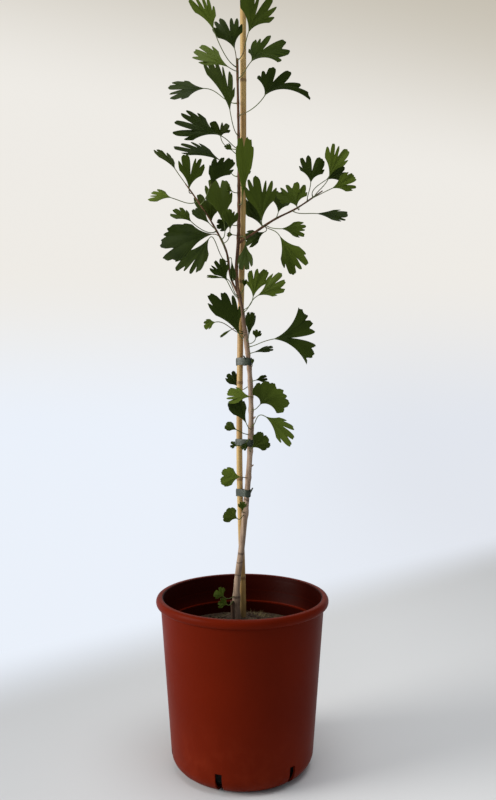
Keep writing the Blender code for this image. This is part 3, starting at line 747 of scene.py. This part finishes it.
def at_height(course, z):
    """The centre, direction and radius of a course where it crosses a height."""
    for lower, upper in zip(course, course[1:]):
        if lower.z <= z <= upper.z:
            share = (z - lower.z) / (upper.z - lower.z)
            point = lower.lerp(upper, share)
            return point.to_3d(), (upper - lower).to_3d().normalized(), point.w
    return course[-1].to_3d(), (course[-1] - course[-2]).to_3d().normalized(), course[-1].w


def all_shoots():
    """Every shoot's course by its name."""
    return {"leader": leader_course(), "left_branch": branch_course(LEFT_BRANCH),
            "right_branch": branch_course(RIGHT_BRANCH), "spur": branch_course(SPUR)}


def cane_course(leader, radius):
    """The cane's centre line, resting against the back of the trunk all the way up."""
    points = []
    for right, height in CANE_COURSE:
        centre, _, trunk = at_height(leader, SOIL_TOP_Z + height * MM)
        points.append(Vector((right * MM, centre.y + trunk + radius + 2 * GAP,
                              SOIL_TOP_Z + height * MM)))
    points.insert(0, Vector((points[0].x, points[0].y + 0.002, CANE_FOOT_Z)))
    points.append(Vector((points[-1].x, points[-1].y, CANE_TOP_Z)))
    return smooth_course(points, 0.002)


def swelling(height, centre, spread):
    """A bulge of height 1 round a place on a rod."""
    return math.exp(-((height - centre) / spread) ** 2)


class Blade:
    """The surface of one leaf, from its row of sizes."""

    def __init__(self, name, leaf, course):
        self.leaf = leaf
        self.seed = random.Random(name)
        centre, direction, radius = at_height(course, SOIL_TOP_Z + leaf.height * MM)
        run = Vector(leaf.base) * MM
        self.base = centre + run
        self.outwards = (run - direction * direction.dot(run)).normalized()
        self.start = centre + self.outwards * (radius * 0.7)
        self.phases = [self.seed.uniform(0.0, math.tau) for _ in range(6)]
        self.curl = self.seed.uniform(-CURL, CURL)
        self.cup = self.seed.uniform(-CUP, CUP)
        self.lobes = round(leaf.spread / 9.0) + self.seed.choice((3, 4, 5))
        self.shoulder_drop = SQUARE_SHOULDER_DROP if name in SQUARE_LEAVES else SHOULDER_DROP
        self.cuts = [(cut, depth * 1.2, CUT_WIDTH) for cut, depth in leaf.cuts]
        fingers = max(2, round(leaf.spread * leaf.length / 900.0))
        low, high = (0.04, 0.12) if name in BROAD_LEAVES else (0.14, 0.42)
        for index in range(fingers + 1):
            place = -0.9 + 1.8 * (index + self.seed.uniform(0.25, 0.75)) / (fingers + 1)
            if all(abs(place - cut) > 0.24 for cut, _ in leaf.cuts):
                self.cuts.append((place, self.seed.uniform(low, high), self.seed.uniform(0.05, 0.075)))
        places = [step / 20.0 - 1.0 for step in range(41)]
        self.longest = max(self.reach(place, 1.0) for place in places) * MM

    def reach(self, place, share):
        """How far out the blade goes: the fan's length, less the cuts between its lobes."""
        leaf = self.leaf
        whole = leaf.length * (1.0 + leaf.skew * place) * (1.0 - self.shoulder_drop * place ** 4)
        left = 1.0
        for cut, depth, width in self.cuts:
            left *= 1.0 - depth * math.exp(-(abs(place - cut) / width) ** 1.7)
        tooth = 0.012 * math.sin(place * self.lobes * math.pi + self.phases[0])
        tooth += 0.005 * math.sin(place * self.lobes * 2.3 * math.pi + self.phases[1])
        left *= 1.0 + tooth
        return whole * share * (1.0 - (1.0 - left) * share ** 1.5)

    def point(self, place, share):
        """A point of the blade: place goes across it from -1 to 1, share from foot to edge."""
        leaf = self.leaf
        distance = self.reach(place, share) * MM
        offset = math.radians(place * leaf.spread / 2 * (WEDGE + (1.0 - WEDGE) * share))
        bearing = math.radians(leaf.aim) + offset
        along = distance * math.cos(offset)
        across = distance * math.sin(offset)
        back = across * math.tan(math.radians(leaf.turn)) + along * math.tan(math.radians(leaf.lean))
        pleat = 0.0006 * math.sin(place * 9.0 + self.phases[3]) * share
        wave = 0.0011 * math.sin(place * 5.0 + self.phases[5]) * share ** 3
        back += self.curl * along * along / self.longest + self.cup * across * across / self.longest
        up = distance * math.cos(bearing) - leaf.droop * MM * (distance / self.longest) ** 2
        return self.base + Vector((distance * math.sin(bearing), back + pleat + wave, up))


def leaf_tone(name):
    """How light a leaf is, from 0 to 1."""
    tone = random.Random("tone " + name).uniform(0.18, 0.48)
    if name in DARK_LEAVES:
        tone *= 0.25
    if name in BRIGHT_LEAVES:
        tone = 0.45 + tone * 0.9
    return tone


def make_stalk(blade, foot, radius):
    """A leaf's stalk, bent from the shoot into the foot of its blade."""
    middle = (blade.point(-1.0, foot) + blade.point(1.0, foot)) / 2
    inner = blade.point(0.0, 0.16)
    aim = (inner - blade.base).normalized()
    bend = 0.35 * (blade.base - blade.start).length
    first = blade.start + blade.outwards * bend
    last = blade.base - aim * bend
    path = []
    for t in shares(12):
        point = (blade.start * (1 - t) ** 3 + first * (3 * t * (1 - t) ** 2)
                 + last * (3 * t * t * (1 - t)) + middle * t ** 3)
        path.append((*point, radius * (1.0 + 0.8 * math.exp(-(t / 0.08) ** 2))))
    path.append((*inner, radius * 0.5))
    return rod(path, 8)


def make_leaf(name, leaf, course, looks, settings):
    """One leaf: a grid shaped as a fan and thickened, with its stalk joined on."""
    coarser = 2 if leaf.length < SMALL_LENGTH else 1
    blade = Blade(name, leaf, course)
    thing = grid(settings.columns // coarser, settings.rows // coarser)
    foot = BLADE_START * 0.6
    for vertex in thing.data.vertices:
        share = foot + (1.0 - foot) * ((vertex.co.y + 1.0) / 2.0) ** 0.8
        vertex.co = blade.point(vertex.co.x, share)
    apply_modifier(thing, "SOLIDIFY", thickness=settings.blade_thickness, offset=0.0)
    stalk = make_stalk(blade, foot, settings.stalk_radius)
    stalk.data.materials.append(looks["stalk"])
    thing.data.materials.append(looks["leaf"])
    thing = join(name, (stalk, thing))
    layer = thing.data.attributes.new("tone", "FLOAT", "POINT")
    layer.data.foreach_set("value", [leaf_tone(name)] * len(thing.data.vertices))
    smooth(thing, 50.0)
    nodes = (name,) if name in LEAVES else ()
    return dress(thing, name, None, "leaf", *nodes)


def ring_profile(settings):
    """The pot's outline: outside from the axis up, the rolled rim, and the inside back down."""
    top = POT_HEIGHT
    bead_foot = top - settings.rim_height
    ledge = top - settings.ledge_depth
    lip = settings.rim_lip
    inner = RIM_RADIUS - lip
    wide = RIM_RADIUS - settings.rim_overhang
    slope = (wide - settings.base_radius) / bead_foot
    lean = math.atan(slope)

    def side(z, inset):
        return settings.base_radius + z * slope - inset

    def floor(inset):
        centre = settings.base_radius + settings.corner_radius * (math.tan(lean) - 1 / math.cos(lean))
        radius = settings.corner_radius - inset
        angles = [-math.pi / 2 + (math.pi / 2 - lean) * share for share in shares(10)]
        return [(centre + radius * math.cos(angle), settings.corner_radius + radius * math.sin(angle))
                for angle in angles]

    outline = [(FLOOR_CENTRE_RADIUS, 0.0)] + floor(0.0)
    for share in (0.3, 0.5, 0.7, 0.85, 1.0):
        outline.append((side(bead_foot * share, 0.0), bead_foot * share))
    bead = settings.rim_height / 2
    for share in shares(12):
        angle = -math.pi / 2 + math.pi * share
        outline.append((RIM_RADIUS - bead * 0.7 * (1 - math.cos(angle)),
                        top - bead + bead * math.sin(angle)))
    outline += [(inner + 0.20 * lip, top), (inner + 0.05 * lip, top - 0.0010), (inner, top - 0.0035)]
    for down in (0.008, 0.016, 0.024):
        outline += [(inner - 0.0002, top - down + 0.0008), (inner - 0.0005, top - down)]
    inside = side(ledge, settings.wall)
    outline += [(inner - 0.0012, ledge + 0.0012), (inner - 0.0016, ledge + 0.0004),
                (inside - 0.0006, ledge), (inside, ledge - 0.001),
                (side(ledge - 0.008, settings.wall), ledge - 0.008)]
    return outline + floor(settings.wall)[::-1] + [(FLOOR_CENTRE_RADIUS, settings.wall)]


def box(centre, size, bearing):
    """A block, turned about the upright axis so that its depth points along a bearing."""
    deselect()
    bpy.ops.mesh.primitive_cube_add(size=1.0)
    block = bpy.context.object
    block.scale = size
    block.rotation_euler = (0.0, 0.0, math.radians(bearing))
    block.location = centre
    bpy.ops.object.transform_apply(location=True, rotation=True, scale=True)
    return block


def make_pot(settings):
    """The nursery pot: a turned shell with square drainage slots cut through its bottom corner."""
    pot = turned(ring_profile(settings), settings.sides)
    for index in range(settings.slots):
        bearing = SLOT_FIRST_BEARING + index * 360.0 / settings.slots
        centre = Vector((math.sin(math.radians(bearing)), -math.cos(math.radians(bearing)), 0.0))
        centre *= settings.base_radius
        centre.z = (settings.slot_height - SLOT_SPARE) / 2
        size = (settings.slot_width, SLOT_DEPTH, settings.slot_height + SLOT_SPARE)
        fuse(pot, box(centre, size, bearing), "DIFFERENCE")
    smooth(pot, 32.0)
    return dress(pot, "pot_body", plastic_look(settings.plastic), "pot", "pot")


def soil_height(x, y, settings):
    """The soil's top: a mound towards the trunk, with lumps."""
    edge_z = POT_HEIGHT - settings.depth
    reach = min(1.0, math.hypot(x, y) / SOIL_EDGE_RADIUS)
    rise = 0.5 + 0.5 * math.cos(math.pi * reach)
    lump = noise.fractal(Vector((x, y, 0.3)) * 62.0, 1.0, 2.1, 5) * settings.roughness
    grit = noise.noise(Vector((x, y, 0.7)) * 620.0) * 0.0007
    ring = 0.004 * swelling(math.hypot(x, y), 0.088, 0.006)
    return edge_z + (SOIL_TOP_Z - edge_z) * rise + (lump + grit) * min(1.0, (1.0 - reach) * 8) - ring


def make_soil_body(settings):
    """The root ball: a square grid drawn onto a disc, its rim extruded down to the pot's floor."""
    soil = grid(SOIL_GRID, SOIL_GRID)
    for vertex in soil.data.vertices:
        across, along = vertex.co.x, vertex.co.y
        x = across * math.sqrt(1.0 - along * along / 2) * SOIL_EDGE_RADIUS
        y = along * math.sqrt(1.0 - across * across / 2) * SOIL_EDGE_RADIUS
        vertex.co = (x, y, soil_height(x, y, settings))
    bpy.ops.object.mode_set(mode="EDIT")
    bpy.ops.mesh.select_mode(type="EDGE")
    bpy.ops.mesh.select_all(action="DESELECT")
    bpy.ops.mesh.select_non_manifold()
    extrude_rings(((SOIL_EDGE_RADIUS, POT_HEIGHT - settings.depth), *ROOT_BALL))
    bpy.ops.mesh.edge_face_add()
    bpy.ops.mesh.select_mode(type="VERT")
    close_editing()
    smooth(soil, 60.0)
    return dress(soil, "soil_body", earth_look("earth", settings.soil, settings.moss), "soil", "soil")


def scatter(name, template, count, seed, place, size, tilt, settings):
    """Copies of a small shape laid over the soil; place, size and tilt are drawn for each."""
    draw = random.Random(seed)
    copies = []
    for _ in range(count):
        copy = template.copy()
        copy.data = template.data.copy()
        bpy.context.collection.objects.link(copy)
        x, y = place(draw)
        copy.location = (x, y, soil_height(x, y, settings) + 0.0006)
        copy.rotation_euler = (draw.uniform(-tilt, tilt), draw.uniform(-tilt, tilt),
                               draw.uniform(0.0, math.tau))
        copy.scale = size(draw)
        copies.append(copy)
    bpy.data.objects.remove(template, do_unlink=True)
    joined = join(name, copies)
    bpy.ops.object.transform_apply(location=True, rotation=True, scale=True)
    return joined


def over_soil(draw):
    """Anywhere on the soil."""
    radius = CRUMB_REACH * math.sqrt(draw.random())
    angle = draw.uniform(0.0, math.tau)
    return radius * math.cos(angle), radius * math.sin(angle)


def in_tufts(draw):
    """Round one of the tufts of moss and straw."""
    x, y, spread = draw.choice(TUFTS)
    return x + draw.gauss(0.0, spread), y + draw.gauss(0.0, spread * 0.8)


def make_crumbs(settings):
    """Loose crumbs of soil."""
    deselect()
    bpy.ops.mesh.primitive_ico_sphere_add(subdivisions=1, radius=1.0)
    template = bpy.context.object

    def size(draw):
        grain = draw.uniform(0.0010, 0.0030)
        return grain, grain * draw.uniform(0.6, 1.0), grain * draw.uniform(0.5, 0.8)

    crumbs = scatter("crumbs", template, settings.crumbs, 11, over_soil, size, 0.6, settings)
    smooth(crumbs, 80.0)
    return dress(crumbs, "soil_crumbs", earth_look("crumb", settings.soil, settings.moss), "soil")


def make_straws(settings):
    """Dry straws and blades of moss in tufts."""
    deselect()
    bpy.ops.mesh.primitive_cone_add(vertices=5, radius1=1.0, radius2=0.25, depth=1.0)
    template = bpy.context.object
    bpy.ops.transform.translate(value=(0.0, 0.0, 0.4))
    bpy.ops.object.transform_apply(location=True)

    def size(draw):
        thick = draw.uniform(0.00022, 0.00045)
        return thick, thick, draw.uniform(0.004, 0.011)

    straws = scatter("straws", template, settings.tufts, 23, in_tufts, size, 1.35, settings)
    return dress(straws, "soil_straws", straw_look(shade(settings.moss, 1.9)), "soil")


def make_stub(settings):
    """The stub of an old shoot beside the trunk's foot."""
    x, y = STUB_PLACE
    foot = soil_height(x, y, settings) - 0.004
    course = []
    for share in shares(8):
        height = foot + STUB_HEIGHT * share
        course.append((x - 0.002 * share ** 2, y, height, 0.0030 - 0.0010 * share))
    stub = rod(course, 12)
    smooth(stub, 50.0)
    return dress(stub, "stub", bark_look(STUB_COLOUR, STUB_COLOUR), "bark")


def leaf_heights(shoot):
    """The heights above the soil where leaves leave a shoot, in metres."""
    return [leaf.height * MM for leaf in ALL_LEAVES.values() if leaf.shoot == shoot]


def knobbly(course, shoot):
    """A shoot's course, swollen where its leaves leave it."""
    heights = leaf_heights(shoot)
    rows = []
    for point in course:
        height = point.z - SOIL_TOP_Z
        bulge = min(1.0, sum(swelling(height, place, KNOB_SPREAD) for place in heights))
        wobble = noise.noise(Vector((0.0, 0.0, height * 60.0)))
        rows.append((point.x, point.y, point.z, point.w * (1.0 + 0.22 * bulge + 0.05 * wobble)))
    return rows


def make_stem(settings):
    """The trunk with its branches, the spur and two twig stubs, one piece of wood."""
    shoots = all_shoots()
    stem = rod(knobbly(shoots["leader"], "leader"), 20)
    for name in ("left_branch", "right_branch", "spur"):
        fuse(stem, rod(knobbly(shoots[name], name), 12), "UNION")
    for height, right, up in STUBS:
        centre, _, radius = at_height(shoots["leader"], SOIL_TOP_Z + height * MM)
        tip = centre + Vector((right * MM, -0.002, up * MM))
        middle = centre.lerp(tip, 0.5) + Vector((0.0, 0.0, -0.0005))
        fuse(stem, rod(((*centre, 0.0016), (*middle, 0.0012), (*tip, 0.0009)), 8), "UNION")
    smooth(stem, 50.0)
    look = bark_look(settings.bark_low, settings.bark_high)
    return dress(stem, "wood", look, "bark", "stem")


def make_cane(settings):
    """The bamboo cane, with a raised joint every so often."""
    course = []
    for point in cane_course(leader_course(), settings.cane_radius):
        height = point.z - SOIL_TOP_Z
        ridge = sum(swelling(height, joint, RIDGE_SPREAD) for joint in CANE_JOINTS)
        course.append((*point, settings.cane_radius + settings.joint_height * ridge))
    cane = rod(course, 24)
    smooth(cane, 40.0)
    return dress(cane, "bamboo_cane", bamboo_look(settings.bamboo), "bamboo", "cane")


def loose_end(wood, level, tail):
    """A tie's loose end, which hangs from the front of the trunk."""
    centre, radius = wood
    start = centre + Vector((math.copysign(radius, tail), -radius * 0.4, 0.0))
    path = []
    for share in shares(8):
        path.append((start.x + tail * MM * share, start.y - 0.003 * share,
                     level + 0.001 + 0.007 * share, 0.0016 - 0.0007 * share))
    return rod(path, 10)


def make_tie(name, height, tail, rods, look):
    """One band of tape, drawn round the trunk and the cane and creased."""
    level = SOIL_TOP_Z + height * MM
    circles = []
    for course in rods:
        centre, _, radius = at_height(course, level)
        circles.append((centre, radius))
    deselect()
    bpy.ops.mesh.primitive_circle_add(vertices=TIE_SIDES, radius=1.0, fill_type="NOTHING")
    tie = bpy.context.object
    for index, vertex in enumerate(tie.data.vertices):
        arm = vertex.co.normalized()
        centre, radius = max(circles, key=lambda circle: circle[0].dot(arm) + circle[1])
        crease = 0.00015 * math.sin(index * 1.9) + 0.0005
        spot = centre + arm * (radius + crease)
        vertex.co = (spot.x, spot.y, level - TIE_WIDTH / 2 + 0.0006 * math.sin(index * 0.35))
    open_editing()
    extrude_up(TIE_WIDTH / 4)
    for grow in (1.02, 1.0, 0.98):
        extrude_up(TIE_WIDTH / 4)
        bpy.ops.transform.resize(value=(grow, grow, 1.0))
    close_editing()
    apply_modifier(tie, "SOLIDIFY", thickness=TAPE_THICKNESS, offset=1.0)
    if tail:
        tie = join(name, (loose_end(circles[0], level, tail), tie))
    smooth(tie, 50.0)
    return dress(tie, "tape_" + name, look, "tape", name)


def make_ties(settings):
    """The bands of tape round trunk and cane."""
    leader = leader_course()
    radius = settings.cane_radius
    cane = [Vector((*point, radius)) for point in cane_course(leader, radius)]
    look = tape_look(settings.tape)
    for name, (height, tail) in TIES.items():
        make_tie(name, height, tail, (leader, cane), look)


def make_leaves(settings):
    """Every leaf of the plant, and the small ones and buds."""
    shoots = all_shoots()
    looks = {"leaf": leaf_look(settings.leaf_dark, settings.leaf_light),
             "stalk": stalk_look(settings.leaf_light)}
    for name, leaf in ALL_LEAVES.items():
        make_leaf(name, leaf, shoots[leaf.shoot], looks, settings)


def backdrop_look(colour):
    """Pale paper on the floor, with painted shade on its left, which passes into a backdrop that glows
    with painted light, bluer low and darker towards the top.
    """
    look = Look("backdrop", 0.95)
    look.fix("Specular IOR Level", 0.0)
    look.fix("Emission Strength", 1.0)
    side, back, up = (look.axis(name) for name in "XYZ")
    # Painted shade on the floor's left, against the light from that side.
    left = 1.0 - look.band(side, -0.75, 0.35)
    paper = look.blend(left * 0.82, colour, (0.38, 0.40, 0.425))
    # The backdrop glows with painted light: bluer low, warmer higher and darker towards the top.
    low = look.blend(look.band(side, -0.4, 0.9), (0.83, 0.88, 0.96), (0.76, 0.79, 0.85))
    wall = look.blend(look.band(up, 0.2, 1.1), low, (0.86, 0.835, 0.79))
    wall = look.blend(look.band(up + side * 0.2, 1.7, 2.8), wall, (0.56, 0.52, 0.44))
    lit = look.band(back - side * 0.86, 0.45, 0.85)
    look.feed("Base Color", look.blend(lit, paper, (0.0, 0.0, 0.0)))
    look.feed("Emission Color", look.blend(lit, (0.0, 0.0, 0.0), wall))
    return look.material


def make_backdrop(settings):
    """The floor, which curves up into the backdrop behind the pot."""
    floor = grid(4, 90)
    flat, bent = settings.sweep_start - FLOOR_FRONT, FLOOR_BEND * math.pi / 2
    for vertex in floor.data.vertices:
        run = (vertex.co.y + 1.0) / 2.0 * (flat + bent + WALL_HEIGHT)
        angle = min(max((run - flat) / FLOOR_BEND, 0.0), math.pi / 2)
        vertex.co = (vertex.co.x * FLOOR_SIDE,
                     FLOOR_FRONT + min(run, flat) + FLOOR_BEND * math.sin(angle),
                     FLOOR_BEND * (1 - math.cos(angle)) + max(0.0, run - flat - bent))
    pick(floor)
    bpy.ops.object.shade_smooth()
    floor.name = "floor"
    floor.data.materials.append(backdrop_look(settings.floor))


def make_stage(settings):
    """Floor, lights, world and camera."""
    make_backdrop(settings)
    scene = bpy.context.scene
    scene.view_settings.view_transform = "Standard"
    world = bpy.data.worlds.new("room")
    world.use_nodes = True
    background = world.node_tree.nodes["Background"]
    background.inputs["Color"].default_value = (0.93, 0.96, 1.0, 1.0)
    background.inputs["Strength"].default_value = settings.fill
    scene.world = world
    for name, place, aim, size, power, colour in (
            ("key", (-1.9, -0.60, 0.85), (0.0, 0.0, 0.40), 1.1, settings.key_power, (1.0, 0.97, 0.92)),
            ("top", (0.25, -0.30, 2.4), (0.0, 0.77, 0.30), 1.6, settings.top_power, (1.0, 0.985, 0.98))):
        deselect()
        bpy.ops.object.light_add(type="AREA", location=place)
        light = bpy.context.object
        light.name = name
        light.data.shape = "DISK"
        light.data.size = size
        light.data.energy = power
        light.data.color = colour
        light.rotation_euler = (Vector(aim) - Vector(place)).to_track_quat("-Z", "Y").to_euler()
    bpy.ops.object.camera_add(location=settings.camera_place)
    camera = bpy.context.object
    camera.rotation_euler = (math.pi / 2 - settings.camera_tilt, 0.0, 0.0)
    camera.data.lens = settings.lens
    camera.data.sensor_width = SENSOR_WIDTH
    scene.camera = camera


class GINKGO_OT_pot(bpy.types.Operator):
    """Build the nursery pot"""

    bl_idname = "ginkgo.pot"
    bl_label = "Pot"

    def execute(self, context):
        make_pot(context.scene.ginkgo_pot)
        return {"FINISHED"}


class GINKGO_OT_soil(bpy.types.Operator):
    """Build the soil with its crumbs, straws and the old stub"""

    bl_idname = "ginkgo.soil"
    bl_label = "Soil"

    def execute(self, context):
        settings = context.scene.ginkgo_soil
        make_soil_body(settings)
        make_crumbs(settings)
        make_straws(settings)
        make_stub(settings)
        return {"FINISHED"}


class GINKGO_OT_stem(bpy.types.Operator):
    """Build the trunk and its branches"""

    bl_idname = "ginkgo.stem"
    bl_label = "Stem"

    def execute(self, context):
        make_stem(context.scene.ginkgo_plant)
        return {"FINISHED"}


class GINKGO_OT_cane(bpy.types.Operator):
    """Build the bamboo cane"""

    bl_idname = "ginkgo.cane"
    bl_label = "Cane"

    def execute(self, context):
        make_cane(context.scene.ginkgo_plant)
        return {"FINISHED"}


class GINKGO_OT_ties(bpy.types.Operator):
    """Build the ties round trunk and cane"""

    bl_idname = "ginkgo.ties"
    bl_label = "Ties"

    def execute(self, context):
        make_ties(context.scene.ginkgo_plant)
        return {"FINISHED"}


class GINKGO_OT_leaves(bpy.types.Operator):
    """Build all leaves"""

    bl_idname = "ginkgo.leaves"
    bl_label = "Leaves"

    def execute(self, context):
        make_leaves(context.scene.ginkgo_plant)
        return {"FINISHED"}


class GINKGO_OT_stage(bpy.types.Operator):
    """Set up the floor, the lights and the camera"""

    bl_idname = "ginkgo.stage"
    bl_label = "Stage"

    def execute(self, context):
        make_stage(context.scene.ginkgo_stage)
        return {"FINISHED"}


class GINKGO_PT_panel(bpy.types.Panel):
    """The builder's buttons and sizes"""

    bl_label = "Potted ginkgo"
    bl_idname = "GINKGO_PT_panel"
    bl_space_type = "VIEW_3D"
    bl_region_type = "UI"
    bl_category = "Ginkgo"

    def draw(self, context):
        for group, operators in PANEL_ROWS:
            settings = getattr(context.scene, group)
            area = self.layout.box()
            for name in settings.__annotations__:
                area.prop(settings, name)
            for operator in operators:
                area.operator(operator)


GROUPS = {"ginkgo_pot": PotSettings, "ginkgo_soil": SoilSettings, "ginkgo_plant": PlantSettings,
          "ginkgo_stage": StageSettings}
PANEL_ROWS = (
    ("ginkgo_pot", ("ginkgo.pot",)),
    ("ginkgo_soil", ("ginkgo.soil",)),
    ("ginkgo_plant", ("ginkgo.stem", "ginkgo.cane", "ginkgo.ties", "ginkgo.leaves")),
    ("ginkgo_stage", ("ginkgo.stage",)),
)
CLASSES = (PotSettings, SoilSettings, PlantSettings, StageSettings, GINKGO_OT_pot, GINKGO_OT_soil,
           GINKGO_OT_stem, GINKGO_OT_cane, GINKGO_OT_ties, GINKGO_OT_leaves, GINKGO_OT_stage,
           GINKGO_PT_panel)


def register():
    for made in CLASSES:
        bpy.utils.register_class(made)
    for name, group in GROUPS.items():
        setattr(bpy.types.Scene, name, PointerProperty(type=group))


def unregister():
    for name in GROUPS:
        delattr(bpy.types.Scene, name)
    for made in reversed(CLASSES):
        bpy.utils.unregister_class(made)


def main():
    """Build every piece and the stage."""
    register()
    for _, operators in PANEL_ROWS:
        for operator in operators:
            area, name = operator.split(".")
            getattr(getattr(bpy.ops, area), name)()


if __name__ == "__main__":
    main()
